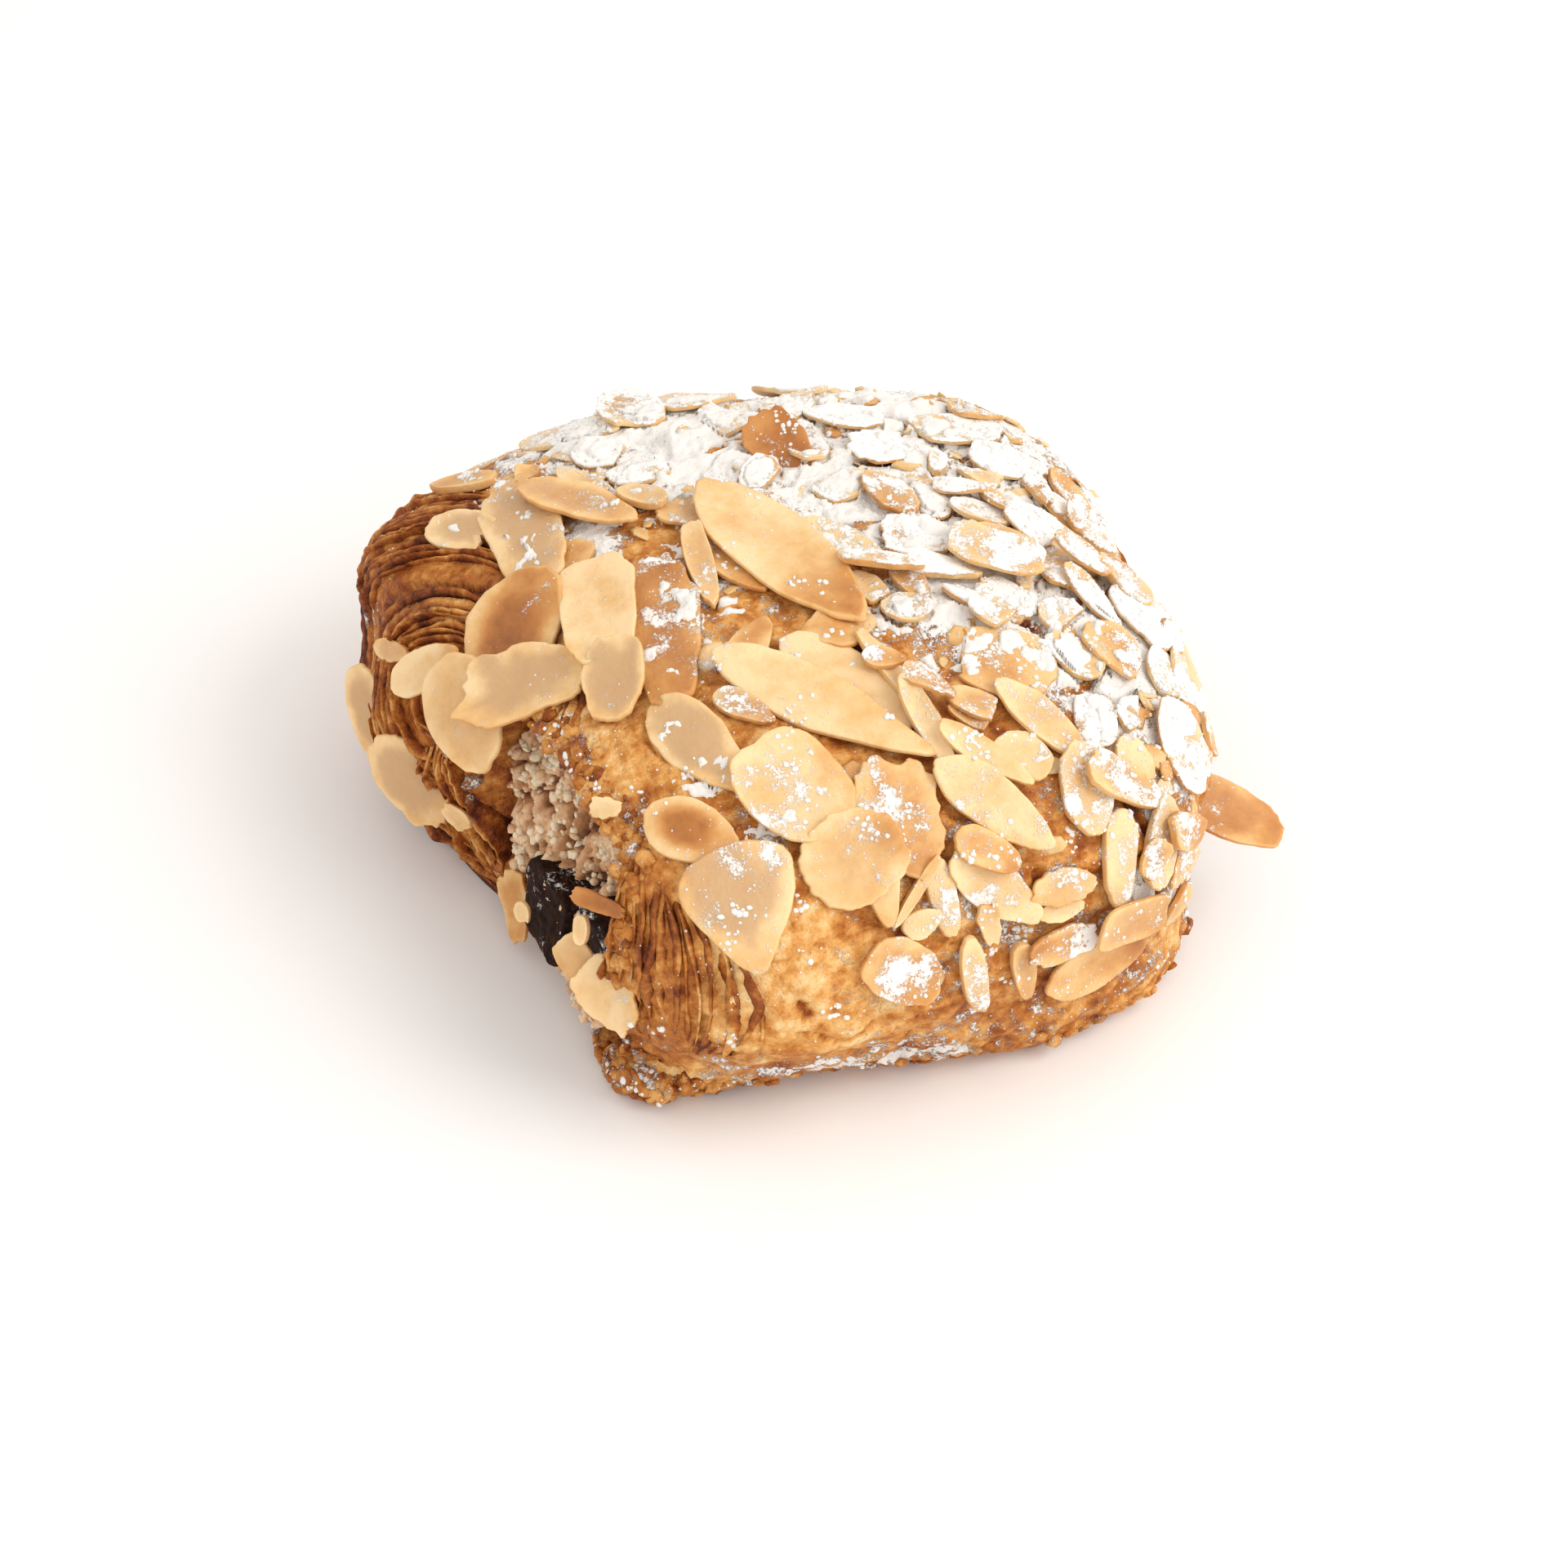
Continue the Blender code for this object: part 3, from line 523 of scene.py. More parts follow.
almondLooks = dict(
    stops=((0.0, (0.85, 0.62, 0.34)), (0.22, (0.76, 0.47, 0.19)), (0.45, (0.61, 0.29, 0.080)),
           (0.7, (0.45, 0.165, 0.030)), (1.0, (0.24, 0.070, 0.011))),
    patch=(180.0, 3.0, 0.55, 0.50, 0.6), mottle=(520.0, 3.0, 0.6, 0.30, 0.5),
    fine=(1500.0, 3.0, 0.6, 0.08, 0.5), milky=(0.55, 0.345, 0.18), fineHeight=0.5, rough=0.5, bump=0.00025,
    shader=dict(subsurface=0.25, radius=(1.0, 0.6, 0.3), depth=0.0012))


def makeAlmond():
    material, tree, shader = newMaterial("flakedAlmond")
    noises = noiseSet(tree, almondLooks)
    # the mark holds toast and, at the blade's rim, some painted shade
    toastAndShade = addNoises(tree, markNode(tree, "toastAndShade"), almondLooks, noises)
    colour = rampNode(tree, toastAndShade, almondLooks["stops"])
    colour = mixNode(tree, markNode(tree, "milky"), colour, almondLooks["milky"])
    height = mathNode(tree, "MULTIPLY_ADD", noises["fine"], almondLooks["fineHeight"], noises["mottle"])
    finishMaterial(tree, shader, colour, almondLooks["rough"], height, almondLooks["bump"],
                   markNode(tree, "sugar"))
    setShader(shader, **almondLooks["shader"])
    return material


# The ramp's dark end is painted shade in the crumb's pores and pits.
crumbLooks = dict(
    stops=((0.0, (0.17, 0.055, 0.018)), (0.35, (0.47, 0.23, 0.095)), (0.6, (0.72, 0.46, 0.26)),
           (1.0, (0.88, 0.72, 0.52))),
    patch=(300.0, 4.0, 0.55, 0.6, 0.5), fine=(1800.0, 3.0, 0.6, 0.4, 0.5),
    fineHeight=0.5, rough=0.8, bump=0.0005, shader=dict(subsurface=0.2, depth=0.001))


def makeCrumb():
    material, tree, shader = newMaterial("bakedAlmondCrumb")
    noises = noiseSet(tree, crumbLooks)
    # the mark holds painted shade in the pores and pits, and is lighter where the lumps and granules stand
    # out
    light = addNoises(tree, markNode(tree, "light"), crumbLooks, noises)
    colour = rampNode(tree, light, crumbLooks["stops"])
    height = mathNode(tree, "MULTIPLY_ADD", noises["fine"], crumbLooks["fineHeight"], noises["patch"])
    finishMaterial(tree, shader, colour, crumbLooks["rough"], height, crumbLooks["bump"],
                   markNode(tree, "sugar"))
    setShader(shader, **crumbLooks["shader"])
    return material


chocolateLooks = dict(dark=(0.012, 0.004, 0.003), worn=(0.055, 0.020, 0.009), streak=(900.0, 4.0, 0.65),
                      wornGain=3.0, wornFrom=-1.25, roughFrom=0.35, roughSpread=0.5, bump=0.0006,
                      shader=dict(specular=0.06))


def makeChocolate():
    material, tree, shader = newMaterial("darkChocolate")
    streak = noiseNode(tree, objectCoordinates(tree), *chocolateLooks["streak"])
    worn = mathNode(tree, "MULTIPLY_ADD", streak, chocolateLooks["wornGain"], chocolateLooks["wornFrom"])
    colour = mixNode(tree, worn, chocolateLooks["dark"], chocolateLooks["worn"])
    rough = mathNode(tree, "MULTIPLY_ADD", streak, chocolateLooks["roughSpread"],
                     chocolateLooks["roughFrom"])
    finishMaterial(tree, shader, colour, rough, streak, chocolateLooks["bump"], markNode(tree, "sugar"))
    setShader(shader, **chocolateLooks["shader"])
    return material


powderLooks = dict(grain=(3200.0, 3.0, 0.7), shade=(500.0, 2.0, 0.55), shaded=(0.83, 0.80, 0.76),
                   bright=(0.92, 0.90, 0.87), rough=0.9, bump=0.0003)


def makeSugar():
    material, tree, shader = newMaterial("powderedSugar")
    noises = noiseSet(tree, powderLooks, ("grain", "shade"))
    colour = mixNode(tree, noises["shade"], powderLooks["shaded"], powderLooks["bright"])
    finishMaterial(tree, shader, colour, powderLooks["rough"], noises["grain"], powderLooks["bump"])
    return material


bakedCrust, flakedAlmond = makeCrust(), makeAlmond()
almondCrumbFinish, darkChocolate, powderedSugar = makeCrumb(), makeChocolate(), makeSugar()
print("materials made")


# The baked crust over the dough. In a pair, a noise has its size and its depth.
bodyLooks = dict(
    cells=128, lumps=(13.0, 0.6), wrinkles=(4.0, 0.34),
    blisters=(1.7, 0.22), crags=(6.0, 0.5), cragStretch=(1.0, 0.8, 1.5), cragSharp=2.2,
    creamCrags=0.6, creamBlisters=1.6,    # how much the cream loses of the one and gains of the other
    drift=0.55, driftFrom=0.35, driftRun=0.4, driftLeast=0.6, driftLumps=(2.6, 0.6),
    crackDepth=0.85, groundAt=2.0,
    footBand=(0.5, 13.0), footSoft=3.0, footCrags=(3.4, 0.95), footGrit=(1.9, 0.45), cornerCrags=0.8,
    footLump=(-38.0, -38.0, 3.0, 11.0),
    creamAt=((-37.0, -12.0, 37.0, 8.0), (-29.0, -20.0, 42.0, 6.0), (-36.0, 2.0, 40.0, 5.0),
             (-25.0, -50.0, 27.0, 8.0), (-16.0, -53.0, 21.0, 8.0), (-34.0, -42.0, 8.0, 7.0)))
# Tones for the crust's ramp, higher being browner; the coil's deep gap and the roll's sunk open middle are
# darkened as painted shade.
bodyBakeAndShade = dict(plain=0.51, foot=0.12, footHeight=9.0, patches=(9.0, 0.18), cream=0.30, fine=0.16,
                crags=0.18, crack=0.92, inCoil=0.56, coilPatches=(4.0, 0.25), band=0.74, gap=0.98,
                ribs=0.56, mouth=0.72, underside=0.62, undersideTo=0.05, sugarLoss=0.8)
# The rolled layers wind about a point of each end; radii are measured where the end would be flat.
coil = dict(centreY=8.0, centreZ=30.0, outer=56.0, band=(17.8, 23.4), gap=(31.4, 34.2), lastX=-30.0,
            sink=0.7, bandSink=0.8, gapSink=1.9, wander=(7.0, 1.3), soft=3.0, bandSoft=0.8, gapSoft=0.6,
            fromY=-3.0)
ribs = dict(count=14, rise=1.0, nearest=((-36.3, -33.6, 35.2), (-38.4, -35.6, 29.0), (-39.6, -35.8, 19.0),
                                         (-38.5, -29.5, 5.8)),
            farthest=((-30.2, -43.6, 34.0), (-26.6, -49.0, 29.5), (-25.4, -51.4, 22.5),
                      (-28.0, -51.0, 15.0)))
shards = dict(count=9, rise=1.5, nearest=((-48.1, 8.4, 22.4), (-46.9, 10.4, 13.4), (-44.0, 9.8, 6.4),
                                          (-41.6, 5.0, 3.1)),
              farthest=((-45.5, 3.5, 27.0), (-45.2, 2.4, 20.0), (-44.0, 1.5, 12.0), (-42.0, 1.0, 5.0)))
ribGroove = dict(sink=0.35, reach=4.2, soft=2.0, span=(0.05, 0.95), lines=7, spots=16)


def endPlane(points):
    # where the ray from the belly's middle through each point meets the plane of the roll's end
    x = np.maximum(np.abs(points[:, 0]) / (1 + dough["backSpread"] * points[:, 1] / dough["halfWidth"]), 1.0)
    share = dough["halfLength"] / x
    return points[:, 1] * share, dough["bellyHeight"] + (points[:, 2] - dough["bellyHeight"]) * share


def ribLine(fan, share, steps):
    # a smooth line through four spots that slide from a fan's nearest line to its farthest
    spots = np.array(fan["nearest"]) * (1 - share) + np.array(fan["farthest"]) * share
    knots = np.array((0.0, 1.0, 2.0, 3.0))
    turn = np.linspace(0, 3, steps)
    line = np.zeros((steps, 3))
    for number, knot in enumerate(knots):
        weight = np.ones(steps)
        for other in knots[knots != knot]:
            weight = weight * (turn - other) / (knot - other)
        line += weight[:, None] * spots[number]
    return line


def within(values, limits, soft):
    # 1 between the two limits and 0 outside, with soft edges
    return smoothStep((values - limits[0]) / soft) * smoothStep((limits[1] - values) / soft)


def nearCream(points):
    # 1 in the middle of each patch of baked cream, 0 away from them
    cream = np.zeros(len(points))
    for x, y, z, radius in bodyLooks["creamAt"]:
        cream = np.maximum(cream, np.exp(-(((points - (x, y, z)) ** 2).sum(1) / radius ** 2) ** 2))
    return cream


def rolledRegions(points):
    # shares of the near end's coil, its bare band, its deep gap, and the ribs on the mouth's other side
    y, z = endPlane(points)
    wander = noiseAt(points, coil["wander"], 430)
    radius = np.hypot(y - coil["centreY"], z - coil["centreZ"]) + wander
    isNear = smoothStep((coil["lastX"] - points[:, 0] + wander) / coil["soft"])
    inCoil = isNear * smoothStep((coil["outer"] - radius) / coil["soft"])
    inCoil = inCoil * smoothStep((points[:, 1] - coil["fromY"]) / coil["soft"])
    inBand = inCoil * within(radius, coil["band"], coil["bandSoft"])
    inGap = inCoil * within(radius, coil["gap"], coil["gapSoft"])
    gap = np.full(len(points), np.inf)
    for share in np.linspace(*ribGroove["span"], ribGroove["lines"]):
        for spot in onSkin(ribLine(ribs, share, ribGroove["spots"]))[0]:
            gap = np.minimum(gap, np.linalg.norm(points - spot, axis=1))
    inRibs = isNear * smoothStep((ribGroove["reach"] - gap) / ribGroove["soft"])
    return inCoil, inBand, inGap, inRibs


def nearLump(points):
    # 1 at the lump of the foot's near corner, 0 away from it
    *centre, radius = bodyLooks["footLump"]
    return np.exp(-((points - centre) ** 2).sum(1) / radius ** 2)


def doughRelief(points, looks, cream, regions, sugar):
    # how far the crust stands out: lumps, wrinkles, crags, blisters, the rough foot and thick sugar, less
    # the cracks and the places where the rolled leaves stand
    inCoil, inBand, inGap, inRibs = regions
    crack = crackDepth(points) * (1 - inCoil) * (1 - inRibs)
    fine = cloudNoise(points, looks["blisters"][0], 31, 2)
    craggy = ridgeNoise(points * looks["cragStretch"], looks["crags"][0], 25, looks["cragSharp"])
    relief = noiseAt(points, looks["lumps"], 11)
    relief += noiseAt(points, looks["wrinkles"], 21)
    relief += looks["crags"][1] * craggy * (1 - looks["creamCrags"] * cream)
    relief += looks["blisters"][1] * fine * (1 + looks["creamBlisters"] * cream)
    low = within(points[:, 2], looks["footBand"], looks["footSoft"]) * (points[:, 1] < 0)
    nodules = ridgeNoise(points, looks["footCrags"][0], 37)
    relief += nodules * (looks["footCrags"][1] * low + looks["cornerCrags"] * nearLump(points))
    relief += looks["footGrit"][1] * low * ridgeNoise(points, looks["footGrit"][0], 39, octaves=2)
    drift = smoothStep((sugar - looks["driftFrom"]) / looks["driftRun"])
    drift = drift * (looks["driftLeast"] + noiseAt(points, looks["driftLumps"], 35))
    relief += looks["drift"] * drift - looks["crackDepth"] * crack
    relief -= coil["sink"] * inCoil + coil["bandSink"] * inBand + coil["gapSink"] * inGap
    relief -= ribGroove["sink"] * inRibs
    return relief, crack, fine, craggy


def sinkMouth(points):
    # pushes the roll's open middle in at both ends, and gives the share of each point that is in it
    side = np.sign(points[:, 0])
    onEnd = smoothStep((np.abs(points[:, 0]) - mouth["endFrom"]) / mouth["endRun"])
    spread = np.where(side < 0, mouth["nearSpread"], mouth["farSpread"])
    edge = spread - mouthReach(points) + noiseAt(points, mouth["ragged"], 41)
    inMouth = smoothStep(edge / mouth["soft"]) * onEnd
    points[:, 0] -= side * mouth["depth"] * inMouth
    return inMouth


def doughBody():
    corners, faces = shellLattice(bodyLooks["cells"])
    reach = (dough["halfLength"], dough["halfWidth"], dough["topHeight"] - dough["bellyHeight"])
    points = doughSurface(corners * reach)
    normals = vertexNormals(points, faces)
    isTop = smoothStep(points[:, 2] / bodyLooks["groundAt"])
    cream = nearCream(points)
    regions = rolledRegions(points)
    relief, crack, fine, craggy = doughRelief(points, bodyLooks, cream, regions, sugarCover(points, normals))
    points = points + normals * (relief * isTop)[:, None]
    inMouth = sinkMouth(points)
    points[:, 2] = np.maximum(points[:, 2], 0.0)

    normals = vertexNormals(points, faces)
    tone = bodyBakeAndShade
    inCoil, inBand, inGap, inRibs = regions
    foot = smoothStep((tone["footHeight"] - points[:, 2]) / tone["footHeight"])
    bakeAndShade = tone["plain"] + tone["foot"] * foot + noiseAt(points, tone["patches"], 51) - tone["cream"] * cream
    bakeAndShade = bakeAndShade - tone["fine"] * fine - tone["crags"] * np.clip(craggy, -1, 1) * (1 - cream)
    bakeAndShade = np.maximum(bakeAndShade, tone["crack"] * crack)
    bakeAndShade = bakeAndShade + (tone["inCoil"] + noiseAt(points, tone["coilPatches"], 53) - bakeAndShade) * inCoil
    # the deep gap and the open middle are darkened here as painted shade
    for share, least in ((inBand, "band"), (inGap, "gap"), (inRibs, "ribs"), (inMouth, "mouth"),
                         (points[:, 2] < tone["undersideTo"], "underside")):
        bakeAndShade = np.maximum(bakeAndShade, tone[least] * share)
    sugar = sugarCover(points, normals)
    for share, loss in ((inCoil, tone["sugarLoss"]), (inRibs, tone["sugarLoss"]), (inMouth, 1)):
        sugar = sugar * (1 - loss * share)
    return points, faces, dict(bakeAndShade=bakeAndShade, sugar=sugar)


bodyForm = doughBody()
newPiece("doughBody", bodyForm, bakedCrust, ("pastry",))

# The rolled leaves at the ends.
# A leaf's root is darkened as painted shade and its lip lightened as painted light.
leafLooks = dict(sink=1.4, mouthSink=4.0, mouthBand=(-12.0, 6.0), mouthSoft=4.0, apart=7.3,
                 rise=0.55, riseWaves=(6.0, 0.6), teeth=(0.9, 0.2), taper=4.0, footFrom=0.8, footRun=1.5,
                 thick=0.34, thickWaves=(3.0, 0.6), lean=0.5, leanFrom=0.4, leanWaves=(7.0, 1.6),
                 room=6.0, clear=0.12, lowest=0.1, rootShade=0.91, lipLight=0.34, toneBake=0.16,
                 bakePatches=(4.0, 0.35), sugar=0.6, sugarFace=(0.0, 0.0, 0.3))
leafSection = (
    # shares of the thickness and of the lean, sideways; share of the height and a step, upwards; paleness,
    # which paints shade at the root and light at the lip
    (0.5, 0.0, 0.0, 0.0, 0.0), (0.5, 0.0, 0.0, -0.3, 0.2), (0.4, 0.6, 0.7, -0.2, 0.7),
    (0.0, 1.0, 1.0, -0.2, 1.0), (-0.4, 0.6, 0.75, -0.2, 0.7), (-0.5, 0.0, 0.0, -0.4, 0.2),
    (-0.5, 0.0, 0.0, 0.0, 0.0),
)
coilLooks = dict(seed=5, firstRadius=3.0, step=0.42, leastSteps=8, wobble=(9.0, 1.0),
                 innerDegrees=(-108, 170), outerDegrees=(-14, 78), outerFrom=31.0,
                 drift=(0.2, 1.6), rise=(0.3, 2.3), broad=(0.8, 1.7),
                 leastGap=0.6, moreGap=1.9, widening=90.0, bareMargin=0.3, mouthMargin=0.02, fade=3.0)
farCoil = dict(centreY=18.0, centreZ=22.0, outer=24.0, mostHeight=33.0)
# From leaf to leaf of a fan, each value is its middle plus its height times the sine of the turn.
fanLooks = dict(steps=90, rise=(1.0, 0.45, 2.3), broad=(1.9, 0.7, 5.3), tone=(0.9, 1.0, 4.1))


def leafAlong(spots, outward, rise, tone, seed, broad=1.0):
    # a thin leaf standing on the skin along a line of spots: how tall, thick and leant it is at each, how
    # deep its root goes, and the skin and the sideways direction there
    looks = leafLooks
    skin, normal = onSkin(spots)
    gaps = np.linalg.norm(np.diff(skin, axis=0), axis=1)
    run = np.concatenate([[0.0], np.cumsum(gaps)])
    line = np.stack([run, np.full_like(run, looks["apart"] * seed), np.zeros_like(run)], 1)
    side = unit(outward - normal * (outward * normal).sum(1, keepdims=True))
    tall = rise * (looks["rise"] + noiseAt(line, looks["riseWaves"], 80 + seed))
    tall = tall + noiseAt(line, looks["teeth"], 85 + seed, 1)
    tall = tall * smoothStep(np.minimum(run, run[-1] - run) / looks["taper"])
    tall = tall * smoothStep((skin[:, 2] - looks["footFrom"]) / looks["footRun"])
    sink = looks["sink"] + looks["mouthSink"] * within(skin[:, 1], looks["mouthBand"], looks["mouthSoft"])
    thick = broad * looks["thick"] * (1 + noiseAt(line, looks["thickWaves"], 90 + seed, 1))
    lean = broad * looks["lean"] * (looks["leanFrom"] + noiseAt(line, looks["leanWaves"], 95 + seed, 1))
    return dict(skin=skin, normal=normal, side=side, tall=tall, sink=sink, thick=thick, lean=lean, tone=tone)


def coilLine(end, centreY, centreZ, radii, degrees, seed):
    # an arc about a point of the roll's end, as spots in the plane of that end, and the way outwards
    arc = math.radians(abs(degrees[1] - degrees[0])) * sum(radii) / 2
    share = np.linspace(0, 1, max(int(arc / coilLooks["step"]), coilLooks["leastSteps"]))
    angle = np.radians(degrees[0] + (degrees[1] - degrees[0]) * share)
    line = np.stack([share * arc, np.full_like(share, leafLooks["apart"] * seed), np.zeros_like(share)], 1)
    radius = radii[0] + (radii[1] - radii[0]) * share + noiseAt(line, coilLooks["wobble"], 60 + seed)
    radial = np.stack([np.zeros_like(angle), np.cos(angle), np.sin(angle)], 1)
    return np.array((end * dough["halfLength"], centreY, centreZ)) + radial * radius[:, None], radial


def coilLeaf(end, centre, radius, seed, rng):
    # one arc's leaf, which stays clear of the roll's open middle; outer arcs keep to the upper shoulder
    looks = coilLooks
    degrees = looks["innerDegrees"] if radius < looks["outerFrom"] else looks["outerDegrees"]
    drift = rng.uniform(*looks["drift"])
    spots, radial = coilLine(end, *centre, (radius - drift / 2, radius + drift / 2), degrees, seed)
    isClear = mouthReach(onSkin(spots)[0]) > mouth["nearSpread"] + looks["mouthMargin"]
    rise, tone, broad = rng.uniform(*looks["rise"]), rng.uniform(-1, 1), rng.uniform(*looks["broad"])
    leaf = leafAlong(spots[isClear], radial[isClear], rise, tone, seed, broad)
    skin = leaf["skin"]
    room = coil["lastX"] + 1 - skin[:, 0] if end < 0 else farCoil["mostHeight"] - skin[:, 2]
    leaf["tall"] *= smoothStep(room / looks["fade"])
    return leaf


def coilLeaves(end, centre, outer, bare):
    # arcs a random step apart, wider apart further out, except in the bare bands
    looks = coilLooks
    rng = np.random.default_rng(looks["seed"] + int(end))
    leaves, radius = [], looks["firstRadius"]
    while radius < outer:
        if not any(low - looks["bareMargin"] < radius < high for low, high in bare):
            leaves.append(coilLeaf(end, centre, radius, 10 + len(leaves), rng))
        gap = looks["leastGap"] + looks["moreGap"] * rng.random() ** 2
        radius += gap * (1 + radius / looks["widening"])
    return leaves


def fanLeaves(fan, firstSeed):
    # leaves side by side, from the fan's nearest line to its farthest
    leaves = []
    waves = (fanLooks["rise"], fanLooks["broad"], fanLooks["tone"])
    for number, share in enumerate(np.linspace(0, 1, fan["count"])):
        rise, broad, tone = (middle + height * math.sin(turn * number) for middle, height, turn in waves)
        spots = ribLine(fan, share, fanLooks["steps"])
        outward = unit(np.array(fan["farthest"][2]) - np.array(fan["nearest"][2])) + 0 * spots
        leaves.append(leafAlong(spots, outward, fan["rise"] * rise, tone, firstSeed + number, broad))
    return leaves


def leafForm(leaf, tree):
    # the leaf's mesh: its section of seven points, from the root up one side to the lip and down the other,
    # carried along the skin, and kept under whatever flake lies above it
    looks = leafLooks
    skin, normal, side = leaf["skin"], leaf["normal"], leaf["side"]
    room = []
    for place, facing in zip(skin, normal):
        hit = tree.ray_cast(Vector(place), Vector(facing), looks["room"])
        room.append(looks["room"] if hit[0] is None else hit[3])
    tall = np.minimum(leaf["tall"], np.array(room) - looks["clear"])
    wide, leant, high, step, paleness = np.array(leafSection).T
    outs = leaf["thick"][:, None] * wide + leaf["lean"][:, None] * leant
    ups = tall[:, None] * high + step
    ups[:, [0, -1]] = -leaf["sink"][:, None]
    rows = skin[:, None] + side[:, None] * outs[..., None] + normal[:, None] * ups[..., None]
    rows[..., 2] = np.maximum(rows[..., 2], looks["lowest"])
    points = np.concatenate([rows.reshape(-1, 3), rows[0].mean(0)[None], rows[-1].mean(0)[None]])
    faces = facingOut(points, closedFaces(len(skin), len(leafSection)))
    edge = np.append(np.tile(paleness, len(skin)), (0.0, 0.0))
    # darkest at the root, as painted shade, and palest at the lip, as painted light, with each leaf's own
    # tone
    bakeAndShade = looks["rootShade"] - (looks["lipLight"] + looks["toneBake"] * leaf["tone"]) * edge
    bakeAndShade = bakeAndShade + noiseAt(points, looks["bakePatches"], 70)
    faceUp = np.repeat([looks["sugarFace"]], len(points), 0)
    sugar = sugarCover(points, faceUp) * looks["sugar"] * edge
    return points, faces, dict(bakeAndShade=bakeAndShade, sugar=sugar)


def rolledLeaves(flakes):
    tree = BVHTree.FromPolygons(*[part.tolist() for part in joined(flakes)[:2]])
    near = coilLeaves(-1, (coil["centreY"], coil["centreZ"]), coil["outer"], (coil["band"], coil["gap"]))
    far = coilLeaves(1, (farCoil["centreY"], farCoil["centreZ"]), farCoil["outer"], ())
    near += fanLeaves(ribs, 60) + fanLeaves(shards, 80)
    for name, leaves in (("rolledLeavesNearEnd", near), ("rolledLeavesFarEnd", far)):
        newPiece(name, joined([leafForm(leaf, tree) for leaf in leaves]), bakedCrust)


# The almond crumb and the chocolate.
# The darkening of pores and pits is painted shade.
crumbShape = dict(clear=0.35, farLean=0.25, rings=90, columns=320, firstRing=0.012,
                  lumps=(4.5, 1.1), pores=(3.4, 1.6), poreSharp=5.0, granules=(1.5, 1.0), grit=(0.6, 0.3),
                  pitFrom=-0.12, pitRun=0.25, pitDepth=1.2, sugar=0.10,
                  light=0.58, lumpLight=0.35, poreShade=0.55, pitShade=0.6, granuleLight=0.3)


def squaredRing(columns, halfWidth, halfHeight, squareness):
    # a superellipse, as offsets across and up
    angle = np.linspace(0, 2 * np.pi, columns, endpoint=False)
    power = 2 / squareness
    across = np.sign(np.cos(angle)) * np.abs(np.cos(angle)) ** power * halfWidth
    rise = np.sign(np.sin(angle)) * np.abs(np.sin(angle)) ** power * halfHeight
    return across, rise


def almondCrumb():
    # a bar with the channel's rounded section; both faces are rings of lumpy, porous crumb
    shape, rings = crumbShape, crumbShape["rings"]
    across, rise = squaredRing(shape["columns"], mouth["halfWidth"] - shape["clear"],
                               mouth["halfHeight"] - shape["clear"], mouth["squareness"])
    ringShare = np.linspace(shape["firstRing"], 1.0, rings)
    share = np.concatenate([ringShare, ringShare[::-1]])
    y = mouth["centreY"] + share[:, None] * across
    z = mouth["centreZ"] + share[:, None] * rise
    lean = mouth["leanZ"] * (z - mouth["centreZ"]) + mouth["leanY"] * (y - mouth["centreY"])
    lean = np.maximum(lean, -mouth["mostOut"])
    x = np.concatenate([mouth["farX"] - shape["farLean"] * lean[:rings], mouth["faceX"] + lean[rings:]])
    points = np.stack([x, y, z], -1).reshape(-1, 3)
    end = np.repeat(np.where(np.arange(2 * rings) < rings, 1.0, -1.0), shape["columns"])
    lumps = cloudNoise(points, shape["lumps"][0], 101, 4)
    pores = np.clip(np.abs(cloudNoise(points, shape["pores"][0], 111)) * shape["poreSharp"], 0, 1)
    granule = cloudNoise(points, shape["granules"][0], 117, 2)
    pit = smoothStep((shape["pitFrom"] - granule) / shape["pitRun"])
    push = shape["lumps"][1] * lumps + shape["pores"][1] * (pores - 1)
    grit = noiseAt(points, shape["grit"], 121, 1)
    push += shape["granules"][1] * (granule - shape["pitDepth"] * pit) + grit
    points[:, 0] += end * push
    poles = [(x, mouth["centreY"], mouth["centreZ"]) for x in (mouth["farX"], mouth["faceX"])]
    points = np.concatenate([points, poles])
    # darker in the pores and pits, as painted shade, and lighter where the lumps and granules stand out
    light = shape["light"] + shape["lumpLight"] * lumps - shape["poreShade"] * (1 - pores)
    light = np.append(light - shape["pitShade"] * pit + shape["granuleLight"] * granule, (0.5, 0.5))
    faces = facingOut(points, closedFaces(2 * rings, shape["columns"]))
    return points, faces, dict(light=light, sugar=np.full(len(points), shape["sugar"]))


crumbForm = almondCrumb()
newPiece("almondCrumb", crumbForm, almondCrumbFinish, ("almond_filling",))

batonLooks = dict(width=10.0, height=13.0, squareness=5.0, columns=96, faceRings=20, faceShares=(0.03, 0.94),
                  edge=((0.985, 0.3), (1.0, 0.9)),    # share of the section, how far in from the end
                  leanZ=0.115, leanY=-0.1, broken=(4.0, 0.9), brokenIn=0.4, rough=(2.2, 0.45),
                  sugarAbove=-2.0, sugar=(0.05, 0.30), sugarPatches=(4.0, 0.40))
batonPlaces = (
    # y, z, roll in degrees, near end, far end
    (-14.6, 12.6, 0.0, -41.0, 43.0),
    (-26.4, 14.2, -4.0, -38.5, 42.0),
)


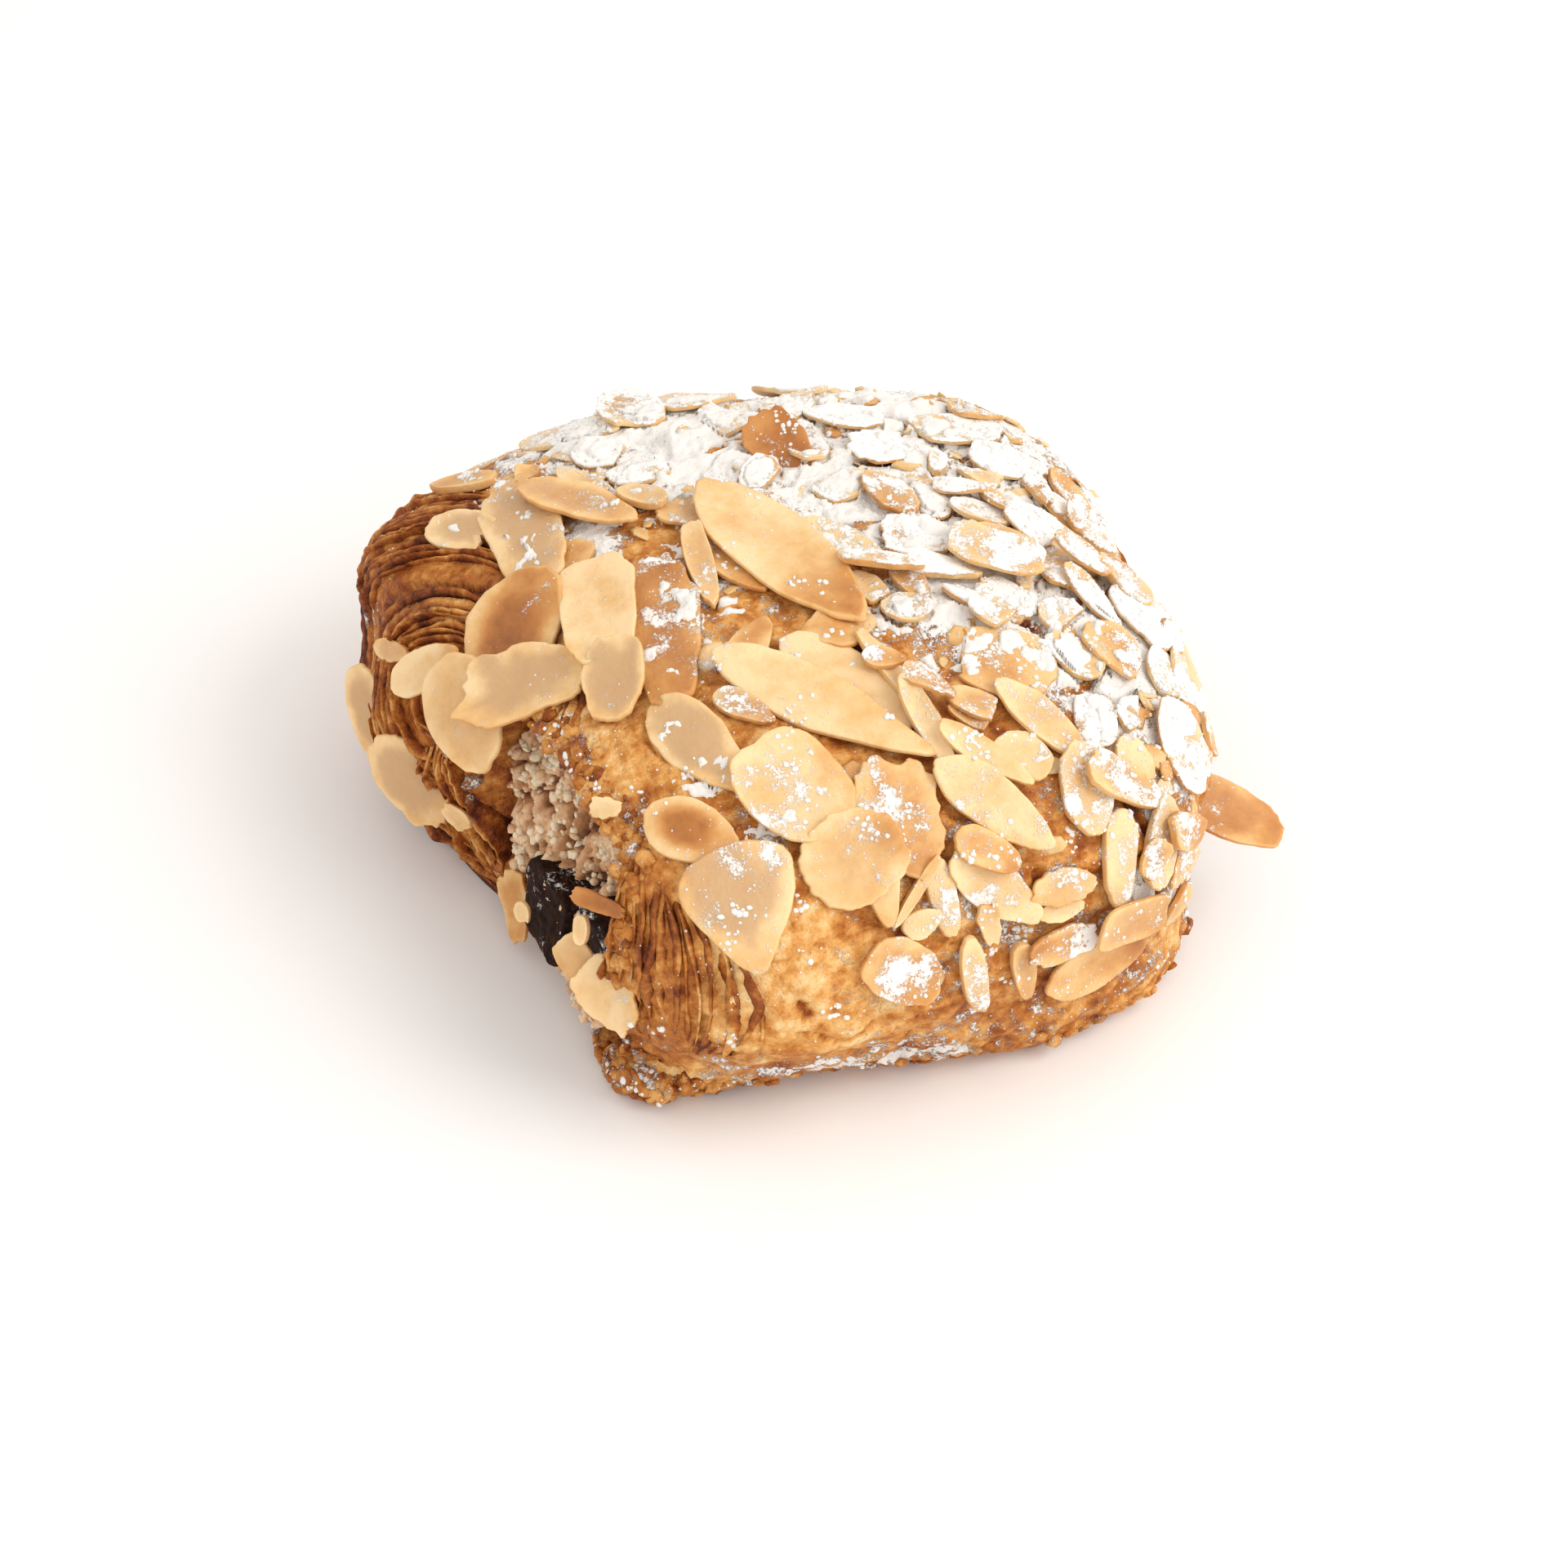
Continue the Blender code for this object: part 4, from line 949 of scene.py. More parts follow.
def chocolateBaton(centreY, centreZ, roll, nearX, farX, seed):
    # a bar with a squared section, its edges rounded over at both broken ends
    looks, rings = batonLooks, batonLooks["faceRings"]
    across, rise = squaredRing(looks["columns"], looks["width"] / 2, looks["height"] / 2,
                               looks["squareness"])
    faceShare = np.linspace(*looks["faceShares"], rings)
    edgeShare, edgeIn = np.array(looks["edge"]).T
    share = np.concatenate([faceShare, edgeShare, edgeShare[::-1], faceShare[::-1]])
    x = np.concatenate([np.full(rings, farX), farX - edgeIn, nearX + edgeIn[::-1], np.full(rings, nearX)])
    y, z = share[:, None] * across, share[:, None] * rise
    x = x[:, None] + looks["leanZ"] * z + looks["leanY"] * y
    turn = math.radians(roll)
    y, z = y * math.cos(turn) - z * math.sin(turn), y * math.sin(turn) + z * math.cos(turn)
    points = np.stack([x, y + centreY, z + centreZ], -1).reshape(-1, 3)
    points = np.concatenate([points, [(farX, centreY, centreZ), (nearX, centreY, centreZ)]])
    end = np.where(points[:, 0] > 0, 1.0, -1.0)
    points[:, 0] += end * (noiseAt(points, looks["broken"], 130 + seed, 4) - looks["brokenIn"])
    faces = facingOut(points, closedFaces(len(share), looks["columns"]))
    points += vertexNormals(points, faces) * noiseAt(points, looks["rough"], 140 + seed, 4)[:, None]
    below, above = looks["sugar"]
    sugar = np.where(points[:, 2] > centreZ + looks["sugarAbove"], above, below)
    sugar = sugar + noiseAt(points, looks["sugarPatches"], 150 + seed)
    return points, faces, dict(sugar=np.clip(sugar, 0, 1))


for number, place in enumerate(batonPlaces, 1):
    newPiece(f"chocolateBaton{number}", chocolateBaton(*place, number), darkChocolate,
             (f"chocolate_baton_{number}",))

# Flaked almonds.
# kind: lengthways squareness, crossways squareness, taper, pinch, ragged edge, how far one side is cut
flakeKinds = dict(
    oval=(2.1, 2.1, 0.22, 0.12, 0.055, 1.0),
    round=(2.3, 2.5, 0.08, 0.0, 0.075, 1.0),
    pointed=(1.6, 2.0, 0.30, 0.25, 0.035, 1.0),
    square=(3.8, 3.4, 0.10, 0.0, 0.070, 1.0),
    fan=(2.3, 2.2, 0.62, 0.10, 0.060, 1.0),
    strip=(3.2, 2.4, 0.15, 0.10, 0.065, 1.0),
    jagged=(2.5, 2.4, 0.15, 0.05, 0.165, 1.0),
    snapped=(2.2, 2.3, 0.22, 0.15, 0.065, 0.45),
)
# tone: toast at the rim, in the middle and at the narrow tip, and how milky the middle is
flakeTones = dict(
    pale=(0.06, 0.16, 0.14, 0.10), cream=(0.12, 0.26, 0.24, 0.25), tan=(0.22, 0.44, 0.38, 0.35),
    grey=(0.12, 0.34, 0.28, 0.80), golden=(0.24, 0.46, 0.52, 0.0), tipped=(0.10, 0.22, 0.66, 0.1),
    heart=(0.18, 0.86, 0.50, 0.0), toasted=(0.36, 0.66, 0.70, 0.1), dark=(0.66, 0.84, 0.95, 0.0),
)
nearEndFlakes = (
    # tip A, tip B, width, kind, tone, sugar
    ((-35, 43, 37), (-28, 37, 41), 3.5, "strip", "tan", 0.3),
    ((-27, 35, 42), (-24, 34, 42), 4, "square", "golden", 0.1),
    ((-30, 33, 43), (-32, 8, 45), 10, "jagged", "grey", 0.3),
    ((-22, 32, 44), (-18, 19, 46), 4, "oval", "cream", 0.3),
    ((-17, 22, 46), (-13, 16, 47), 4, "strip", "cream", 0.3),
    ((-28, 29, 44), (-18, 14, 47), 8, "oval", "tan", 0.12),
    ((-51, 16, 28), (-44, 9, 37), 6, "oval", "pale", 0.05),
    ((-50, 24, 28), (-49, 17, 32), 3, "oval", "tan", 0.1),
    ((-45, 9, 36), (-46, -5, 29), 12, "oval", "cream", 0.05),
    ((-43, 4, 37), (-30, 9, 45), 14, "oval", "heart", 0.08),
    ((-18, 5, 46), (-25, -18, 45), 10, "jagged", "toasted", 0.3),
    ((-25, 8, 45), (-30, -9, 43), 10, "square", "pale", 0.12),
    ((-27, -8, 44), (-32, -17, 42), 8.5, "round", "grey", 0.12),
    ((-45, 2, 34), (-32, -8, 43), 10, "jagged", "grey", 0.15),
    ((-20, -21, 46), (-15, -28, 45), 4, "oval", "tan", 0.4),
    ((-27, -18, 45), (-22, -35, 43), 8, "oval", "grey", 0.12),
    ((-33, -32, 40), (-25, -42, 39), 8, "oval", "heart", 0.05),
    ((-19, -31, 45), (-13, -44, 40), 13, "round", "pale", 0.26),
    ((-26, -41, 40), (-26, -52, 29), 14, "fan", "grey", 0.3),
)
topFlakes = (
    ((-4, 43, 42), (8, 46, 41), 8, "oval", "cream", 0.3),
    ((33, 30, 40), (40, 27, 38), 7, "round", "golden", 0.35),
    ((16, 22, 45), (24, 18, 44), 8, "jagged", "cream", 0.85),
    ((29, 16, 43), (39, 13, 39), 8, "oval", "cream", 0.85),
    ((14, 32, 43), (23, 27, 43), 8, "jagged", "cream", 0.85),
    ((-18, 34, 42), (-11, 29, 43), 7, "snapped", "cream", 0.8),
    ((0, 20, 46), (4, 16, 46), 7.5, "snapped", "tan", 0.3),
    ((22, 11, 45), (20, 2, 45), 5, "round", "golden", 0.35),
    ((31, 4, 43), (38, -8, 39), 6, "strip", "cream", 0.2),
    ((37, -7, 39), (40, -16, 38), 5.5, "strip", "cream", 0.3),
    ((36, 7, 41), (43, -2, 36), 4.5, "strip", "cream", 0.5),
    ((29, -6, 43), (25, -13, 44), 2.5, "square", "pale", 0.1),
    ((20, -11, 45), (24, -18, 43), 6, "jagged", "tan", 0.4),
    ((5, -6, 46), (7, -13, 46), 4, "snapped", "pale", 0.35),
    ((11, -5, 46), (12, -13, 46), 4, "oval", "tan", 0.3),
    ((2, 6, 47), (10, -4, 46), 5.5, "oval", "pale", 0.45),
    ((6, -13, 46), (12, -15, 46), 5.5, "oval", "pale", 0.3),
    ((26, -16, 43), (29, -21, 42), 7, "snapped", "pale", 0.4),
    ((24, -22, 43), (28, -29, 41), 6.5, "round", "cream", 0.2),
    ((31, -20, 41), (31, -30, 40), 8, "oval", "golden", 0.15),
    ((22, -3, 45), (26, -8, 44), 4.5, "snapped", "tan", 0.5),
    ((-12, 10, 47), (-7, -5, 47), 5.5, "oval", "golden", 0.2),
    ((-12, 9, 47), (-14, -5, 46), 3.5, "strip", "cream", 0.1),
    ((-8, -15, 47), (1, -33, 44), 9.5, "oval", "pale", 0.35),
    ((-18, -16, 48), (2, -38, 42), 8, "pointed", "pale", 0.1),
    ((-7, 16, 47), (2, -15, 47), 12, "oval", "tipped", 0.06),
    ((1, -17, 47), (5, -35, 43), 3, "strip", "pale", 0.2),
    ((2, -27, 45), (4, -39, 41), 3, "strip", "pale", 0.5),
)
frontFlakes = (
    ((40, -19, 38), (41, -27, 35), 5.5, "strip", "dark", 0.3),
    ((37, -24, 38), (36, -32, 37), 5, "oval", "pale", 0.5),
    ((41, -32, 33), (42, -35, 28), 5, "oval", "tan", 0.4),
    ((35, -31, 37), (34, -42, 30), 9, "oval", "cream", 0.6),
    ((27, -37, 38), (27, -44, 34), 5, "snapped", "pale", 0.2),
    ((14, -29, 44), (22, -41, 39), 5, "oval", "pale", 0.3),
    ((12, -36, 42), (15, -42, 39), 7, "round", "pale", 0.1),
    ((4, -34, 43), (13, -43, 39), 4, "oval", "pale", 0.2),
    ((23, -46, 35), (20, -53, 26), 4.5, "strip", "pale", 0.3),
    ((31, -44, 33), (25, -51, 26), 5.5, "strip", "pale", 0.3),
    ((10, -52, 27), (18, -51, 28), 3, "snapped", "pale", 0.2),
    ((2, -38, 42), (13, -49, 34), 6.5, "oval", "pale", 0.35),
    ((0, -47, 36), (10, -53, 27), 6.5, "oval", "pale", 0.4),
    ((-3, -36, 43), (-6, -49, 35), 11, "jagged", "golden", 0.35),
    ((-9, -43, 40), (-10, -52, 31), 4.5, "oval", "pale", 0.1),
    ((-10, -42, 40), (-15, -50, 34), 11.5, "jagged", "cream", 0.2),
    ((-2, -47, 36), (-2, -53, 28), 3.5, "strip", "pale", 0.4),
    ((-8, -52, 30), (-3, -51, 31), 3.5, "oval", "pale", 0.1),
    ((-2, -47, 36), (-9, -52, 31), 1.5, "strip", "pale", 0.05),
    ((0, -53, 28), (1, -54, 17), 3.5, "strip", "pale", 0.4),
    ((7, -53, 25), (8, -54, 16), 3, "strip", "tan", 0.4),
    ((-13, -53, 30), (-5, -55, 22), 8, "round", "golden", 0.4),
    ((11, -54, 16), (25, -52, 18), 9, "oval", "golden", 0.3),
)
standingFlakes = (
    # tip A, tip B, width, the way it faces, kind, tone, sugar; the first eight are in the solid too
    ((5, 27, 49), (8, 17, 43), 7.5, (-0.3, -0.6, 0.75), "jagged", "dark", 0.0),
    ((40, -10, 38), (41, -24, 37), 8, (0.45, -0.15, 0.88), "jagged", "cream", 0.6),
    ((43, -21, 36), (39, -38, 28), 8, (0.75, -0.35, 0.55), "oval", "cream", 0.6),
    ((38, -33, 22), (51, -38, 14), 8, (0.2, -0.45, 0.85), "round", "toasted", 0.0),
    ((-51, 26, 25), (-51, 18, 13), 7, (-0.8, -0.35, 0.5), "oval", "grey", 0.0),
    ((-52, 14, 22), (-47, 6, 12), 9, (-0.7, -0.45, 0.55), "jagged", "grey", 0.1),
    ((-43, -29, 22), (-41, -35, 19), 4.5, (-0.6, -0.5, 0.6), "square", "cream", 0.0),
    ((-41, -34, 22), (-39, -42, 17), 7, (-0.7, -0.5, 0.5), "jagged", "pale", 0.0),
    ((-41, -32, 28), (-42, -34, 25), 2, (-0.6, -0.5, 0.6), "strip", "pale", 0.0),
    ((-44.3, -18, 19), (-44.5, -19.5, 15.5), 2, (-0.6, -0.5, 0.6), "snapped", "pale", 0.0),
    ((-42, -31, 31), (-37, -37, 31), 2.5, (-0.6, -0.5, 0.6), "jagged", "dark", 0.0),
    ((-37, -25, 38), (-34, -28, 39), 2.7, (-0.5, -0.4, 0.75), "jagged", "pale", 0.0),
    ((-41, -3, 10), (-42, -9, 3), 4, (-0.7, -0.5, 0.5), "jagged", "golden", 0.0),
    ((-47, 4, 17), (-45, 0, 16), 2.5, (-0.7, -0.5, 0.5), "jagged", "cream", 0.0),
)
flakeShape = dict(
    thick=0.78, stripThick=1.5, columns=72, cup=0.55, cups=(-0.6, 1.0), cupLong=1.2, cupMiddle=0.5,
    rimWave=(6.0, 0.32), middleWave=0.4, waveApart=5.1, edgeSize=3.0, edgeApart=3.7, ragged=(1.1, 1.6),
    snap=(1.2, 0.10), twists=(-0.8, 0.8),
    sides=7, footReach=0.45, footTaper=0.22, footPinch=0.15,    # the solid's outline, on which a blade rests
    lift=0.22, mostSlope=0.35, dropFrom=12.0, dropReach=26.0, deepestRest=-2.0)
# The rim entries give a browner edge, partly toast and partly painted shade.
toastAndShadeRule = dict(
    patchSize=5.0, patch=0.10, innerFrom=0.97, innerRun=0.62, innerPatch=0.18, tipFrom=0.05, tipRun=0.75,
    tipPatch=0.2, tipRim=1.03, tipRimRun=0.14, sideTurn=2.4, sideChance=1.7, sideFrom=0.35, sideRun=0.6,
    sidePatch=0.25, side=0.26, rimFrom=0.97, rimRun=0.02, rim=0.14, greyFrom=0.86, greyRun=0.28,
    greyPatch=0.5, sugar=0.88, dust=0.42, sugarPatch=0.42, sugarLess=0.06, faceFrom=0.4, faceRun=0.35)
fillers = dict(count=28, tries=40, seed=7, length=(9.0, 17.0), widthShare=(0.45, 0.68), rise=(-0.12, 1.0),
               reach=50.0, tall=30.0, steepEnd=0.4, bareFront=36.0, bareBack=18.0, snapped=0.5,
               leastLevel=0.05, pickSeed=4, kinds=("oval", "jagged", "round"),
               sugaredTones=("cream", "pale", "tan"),
               bareTones=("tan", "cream", "golden", "grey"), sugar=(0.25, 0.6), bareSugar=0.18)
extras = dict(count=62, tries=24, leastGap=0.6, seed=12, x=(2.0, 44.0), y=(-51.0, 8.0), z=(19.0, 60.0),
              length=(4.5, 13.0), widthShare=(0.35, 0.65), steepEnd=0.6, mostHeight=45.0, mouthFrom=28.0,
              mouthClear=1.25, headingX=(-0.2, 1.0), headingY=(-1.0, -0.2), sugar=(0.2, 0.6),
              kinds=("jagged", "snapped", "strip", "oval", "square"),
              tones=("pale", "cream", "tan", "golden", "tan"))
# Each ring's reach from the middle, and its height between the blade's two faces.
bladeRings = ((0.16, 0.5), (0.34, 0.5), (0.52, 0.5), (0.68, 0.5), (0.82, 0.5), (0.92, 0.49),
              (0.968, 0.46), (0.992, 0.34), (1.0, 0.12), (0.998, -0.2), (0.975, -0.42),
              (0.90, -0.5), (0.62, -0.5), (0.3, -0.5))


def flakeOutline(angle, kind, seed):
    # a squared ellipse, narrower towards one tip, with a ragged edge, cut across where it snapped
    longSquare, wideSquare, taper, pinch, ragged, cut = flakeKinds[kind]
    along = np.sign(np.cos(angle)) * np.abs(np.cos(angle)) ** (2 / longSquare)
    across = np.sign(np.sin(angle)) * np.abs(np.sin(angle)) ** (2 / wideSquare)
    across = across * (1 - taper * along) * (1 - pinch * along ** 2)
    across = across / np.abs(across).max()
    edgeSize, apart = flakeShape["edgeSize"], np.full_like(angle, flakeShape["edgeApart"] * seed)
    turn = np.stack([np.cos(angle) * edgeSize, np.sin(angle) * edgeSize, apart], 1)
    rough = 1 + ragged * noiseAt(turn, flakeShape["ragged"], seed + 7, 4)
    along, across = along * rough, across * rough
    if cut < 1:
        snap = cut + noiseAt(np.stack([across * edgeSize, apart, apart], 1), flakeShape["snap"], seed)
        along = np.minimum(along, snap)
    return along, across


def flakeForm(length, width, kind, twist, seed):
    # rings from the middle of the top to the rim and back under; the blade is cupped, twisted and waved
    shape = flakeShape
    angle = np.linspace(0, 2 * np.pi, shape["columns"], endpoint=False)
    along, across = flakeOutline(angle, kind, seed)
    rho, level = np.array(bladeRings).T
    thick = shape["thick"] * (shape["stripThick"] if kind == "strip" else 1.0)
    u, v = rho[:, None] * along, rho[:, None] * across
    cup = shape["cup"] * np.random.default_rng(1000 + seed).uniform(*shape["cups"])
    flat = np.stack([u * length / 2, v * width / 2, np.full_like(u, shape["waveApart"] * seed)], -1)
    wave = noiseAt(flat.reshape(-1, 3), shape["rimWave"], 200 + seed).reshape(u.shape)
    wave = wave * (shape["middleWave"] + rho[:, None] ** 2)
    cupped = cup * (u ** 2 * shape["cupLong"] + v ** 2 - shape["cupMiddle"])
    height = level[:, None] * thick + cupped + twist * u * v + wave
    points = np.stack([u * length / 2, v * width / 2, height], -1).reshape(-1, 3)
    low = -shape["cupMiddle"] * cup
    points = np.concatenate([points, [(0, 0, low + thick / 2), (0, 0, low - thick / 2)]])
    blade = dict(rho=np.append(np.repeat(rho, len(angle)), (0.0, 0.0)),
                 u=np.append(u.ravel(), (0.0, 0.0)), v=np.append(v.ravel(), (0.0, 0.0)),
                 isTop=np.append(np.repeat(level > 0, len(angle)), (1, 0)))
    return points, closedFaces(len(rho), len(angle)), blade


def flakeMarks(blade, points, normals, tone, sugar, seed):
    # toast goes from the rim's value to the middle's, and to the tip's along the blade, with patches, one
    # browner side and a brown rim, partly toast and partly painted shade on the blade's edge; sugar lies on
    # the top where the flake and the place have some
    rule, rho = toastAndShadeRule, blade["rho"]
    rimToast, heartToast, tipToast, milky = flakeTones[tone]
    patch = cloudNoise(points, rule["patchSize"], 300 + seed)
    inner = smoothStep((rule["innerFrom"] - rho + rule["innerPatch"] * patch) / rule["innerRun"])
    toastAndShade = rimToast + (heartToast - rimToast) * inner
    tip = smoothStep((blade["u"] - rule["tipFrom"] + rule["tipPatch"] * patch) / rule["tipRun"])
    tip = tip * smoothStep((rule["tipRim"] - rho) / rule["tipRimRun"])
    toastAndShade = toastAndShade + (tipToast - toastAndShade) * tip + rule["patch"] * patch
    turn = rule["sideTurn"] * seed
    aside = blade["u"] * math.cos(turn) + blade["v"] * math.sin(turn) + rule["sidePatch"] * patch
    brown = rule["side"] * smoothStep((aside - rule["sideFrom"]) / rule["sideRun"])
    toastAndShade = toastAndShade + brown * (0.5 + 0.5 * math.sin(rule["sideChance"] * seed))
    # a browner rim on the blade's edge, partly toast and partly painted shade
    toastAndShade = toastAndShade + rule["rim"] * smoothStep((rho - rule["rimFrom"]) / rule["rimRun"])
    cover = rule["sugar"] * sugar + rule["dust"] * sugarCover(points, normals) + rule["sugarPatch"] * patch
    cover = np.clip(cover - rule["sugarLess"], 0, 1) * blade["isTop"]
    cover = cover * smoothStep(normals[:, 2] / rule["faceRun"] + rule["faceFrom"])
    grey = milky * smoothStep((rule["greyFrom"] - rho + rule["greyPatch"] * patch) / rule["greyRun"])
    return dict(toastAndShade=np.clip(toastAndShade, 0, 1), milky=np.clip(grey, 0, 1), sugar=cover)


def placingBetween(tipA, tipB, normal):
    # a blade's own frame: along from tip to tip, its face towards the normal
    along = (tipB - tipA).normalized()
    across = normal.cross(along).normalized()
    placing = Matrix((along, across, along.cross(across))).transposed().to_4x4()
    placing.translation = (tipA + tipB) / 2
    return placing


def settle(length, width, placing, trees):
    # rays down onto what lies below give the heights there; the blade leans to fit them and rests on the
    # highest
    turn = np.arange(flakeShape["sides"]) * 2 * np.pi / flakeShape["sides"]
    reach, along = flakeShape["footReach"], np.cos(turn)
    across = np.sin(turn) * (1 - flakeShape["footTaper"] * along)
    across = across * (1 - flakeShape["footPinch"] * along ** 2)
    feet = [*zip(reach * length * along, reach * width * across), (0.0, 0.0)]
    normal = placing.to_3x3() @ Vector((0, 0, 1))
    rows, heights = [], []
    for x, y in feet:
        start = placing @ Vector((x, y, 0)) + normal * flakeShape["dropFrom"]
        reached = [tree.ray_cast(start, -normal, flakeShape["dropReach"]) for tree in trees]
        tops = [flakeShape["dropFrom"] - hit[3] for hit in reached if hit[0] is not None]
        if tops:
            rows.append((x, y, 1.0))
            heights.append(max(max(tops), flakeShape["deepestRest"]))
    rows, heights = np.array(rows), np.array(heights)
    slopes = np.linalg.lstsq(rows, heights, rcond=None)[0][:2]
    slopes = np.clip(slopes, -flakeShape["mostSlope"], flakeShape["mostSlope"])
    touching = np.max(heights - rows[:, :2] @ slopes)
    tilt = Matrix.Translation((0, 0, touching + 0.5 * flakeShape["thick"] + flakeShape["lift"]))
    tilt[2][0], tilt[2][1] = slopes
    return placing @ tilt


def placed(points, matrix):
    turn = np.array(matrix)
    return points @ turn[:3, :3].T + turn[:3, 3]


def skinPoint(spot):
    point, normal = onSkin([tuple(spot)])
    return Vector(point[0]), Vector(normal[0])


def fillerFlakes(heroes):
    # each filler takes the barest of several random places, clear of both ends, the front and the foot
    rng = random.Random(fillers["seed"])
    centres = [(Vector(row[0]) + Vector(row[1])) / 2 for row in heroes]
    made = []
    while len(made) < fillers["count"]:
        best, bestGap = None, -1.0
        for _ in range(fillers["tries"]):
            bearing = rng.uniform(-math.pi, math.pi)
            rise = math.asin(rng.uniform(*fillers["rise"]))
            spot = (math.cos(rise) * math.cos(bearing) * fillers["reach"],
                    math.cos(rise) * math.sin(bearing) * fillers["reach"],
                    math.sin(rise) * fillers["tall"] + dough["bellyHeight"])
            point, normal = skinPoint(spot)
            lowest = fillers["bareFront"] if point.y < 0 else fillers["bareBack"]
            if abs(normal.x) > fillers["steepEnd"] or point.z < lowest:
                continue
            gap = min((point - centre).length for centre in centres)
            if gap > bestGap:
                best, bestGap = (point, normal), gap
        point, normal = best
        heading = rng.uniform(0, math.pi)
        level = Vector((0, 0, 1)).cross(normal)
        level = level.normalized() if level.length > fillers["leastLevel"] else Vector((1, 0, 0))
        along = level * math.cos(heading) + normal.cross(level) * math.sin(heading)
        length = rng.uniform(*fillers["length"])
        width = length * rng.uniform(*fillers["widthShare"])
        centres.append(point)
        isSnapped = rng.random() < fillers["snapped"]
        made.append((point - along * length / 2, point + along * length / 2, width, isSnapped))
    return made


def gapFlakes(rows):
    # more flakes in the gaps of the crowded side: each takes the barest of several places of a box
    rng = random.Random(extras["seed"])
    spans = [(Vector(row[0]), Vector(row[1]), row[2] / 2) for row in rows]
    taken = [(start.lerp(end, share), half) for start, end, half in spans for share in (0.1, 0.5, 0.9)]
    made = []
    for _ in range(extras["count"]):
        best, bestGap = None, -1.0
        for _ in range(extras["tries"]):
            point, normal = skinPoint([rng.uniform(*extras[axis]) for axis in "xyz"])
            isMouth = (point.x > extras["mouthFrom"]
                       and mouthReach(np.array([point]))[0] < extras["mouthClear"])
            if abs(normal.x) > extras["steepEnd"] or isMouth or point.z > extras["mostHeight"]:
                continue
            gap = min((point - centre).length - half for centre, half in taken)
            if gap > bestGap:
                best, bestGap = (point, normal), gap
        if bestGap < extras["leastGap"]:
            continue
        point, normal = best
        along = Vector((rng.uniform(*extras["headingX"]), rng.uniform(*extras["headingY"]), 0))
        along = (along - normal * along.dot(normal)).normalized()
        half = rng.uniform(*extras["length"]) / 2
        width = 2 * half * rng.uniform(*extras["widthShare"])
        taken += [(point + along * share * half, width / 2) for share in (-0.8, 0.0, 0.8)]
        made.append((point - along * half, point + along * half, width, rng.choice(extras["kinds"]),
                     rng.choice(extras["tones"]), rng.uniform(*extras["sugar"])))
    return made


def layDown(row, twist, number, trees):
    # one flake on the skin and on the flakes before it
    tipA, tipB, width, kind, tone, sugar = row
    tipA, tipB = Vector(tipA), Vector(tipB)
    middle, normal = skinPoint((tipA + tipB) / 2)
    length = (tipB - tipA).length
    placing = placingBetween(tipA, tipB, normal)
    placing.translation = middle
    near = [tree for centre, reach, tree in trees if (centre - middle).length < reach + length / 2]
    seat = settle(length, width, placing, near)
    points, faces, blade = flakeForm(length, width, kind, twist, number)
    points = placed(points, seat)
    marks = flakeMarks(blade, points, vertexNormals(points, faces), tone, sugar, number)
    trees.append((middle, length / 2, BVHTree.FromPolygons(points.tolist(), faces.tolist())))
    return points, faces, marks


def fillerRows(heroes):
    # the fillers as rows like the others', with a kind, a tone and sugar that suit their side
    pick = random.Random(fillers["pickSeed"])
    rows = []
    for tipA, tipB, width, isSnapped in fillerFlakes(heroes):
        middle = (tipA + tipB) / 2
        isSugared = sugarRule["acrossX"] * middle.x + sugarRule["acrossY"] * middle.y > 0
        tone = pick.choice(fillers["sugaredTones"] if isSugared else fillers["bareTones"])
        kind = "snapped" if isSnapped else pick.choice(fillers["kinds"])
        sugar = pick.uniform(*fillers["sugar"]) if isSugared else fillers["bareSugar"]
        rows.append((tipA, tipB, width, kind, tone, sugar))
    return rows


def layFlakes():
    # the fillers, the placed flakes, the standing ones, and those in the gaps, in that order
    heroes = nearEndFlakes + topFlakes + frontFlakes
    rows = [*fillerRows(heroes), *heroes]
    trees = [(Vector((0, 0, 0)), math.inf, BVHTree.FromPolygons(bodyForm[0].tolist(), bodyForm[1].tolist()))]
    twists = random.Random(fillers["seed"] + 1)
    forms = []
    for number, row in enumerate(rows):
        twist = twists.uniform(*flakeShape["twists"])
        if number < fillers["count"] and row[3] == "snapped":
            for _ in range(2 * flakeShape["sides"]):    # the solid's snapped edge takes two draws a side
                twists.random()
        forms.append(layDown(row, twist, number, trees))
    for number, (tipA, tipB, width, facing, kind, tone, sugar) in enumerate(standingFlakes, len(rows)):
        tipA, tipB = Vector(tipA), Vector(tipB)
        twist = twists.uniform(*flakeShape["twists"])
        points, faces, blade = flakeForm((tipB - tipA).length, width, kind, twist, number)
        points = placed(points, placingBetween(tipA, tipB, Vector(facing).normalized()))
        marks = flakeMarks(blade, points, vertexNormals(points, faces), tone, sugar, number)
        forms.append((points, faces, marks))
    for number, row in enumerate(gapFlakes(rows), len(forms)):
        forms.append(layDown(row, twists.uniform(*flakeShape["twists"]), number, trees))
    return forms


flakes = layFlakes()
counts = (fillers["count"], len(nearEndFlakes), len(topFlakes), len(frontFlakes), len(standingFlakes))
lasts = [*np.cumsum(counts), len(flakes)]
firsts = [0, *lasts[:-1]]
for name, first, last in zip(("Under", "NearEnd", "Top", "Front", "Standing", "Between"), firsts, lasts):
    newPiece(f"almondFlakes{name}", joined(flakes[first:last]), flakedAlmond)
rolledLeaves(flakes)

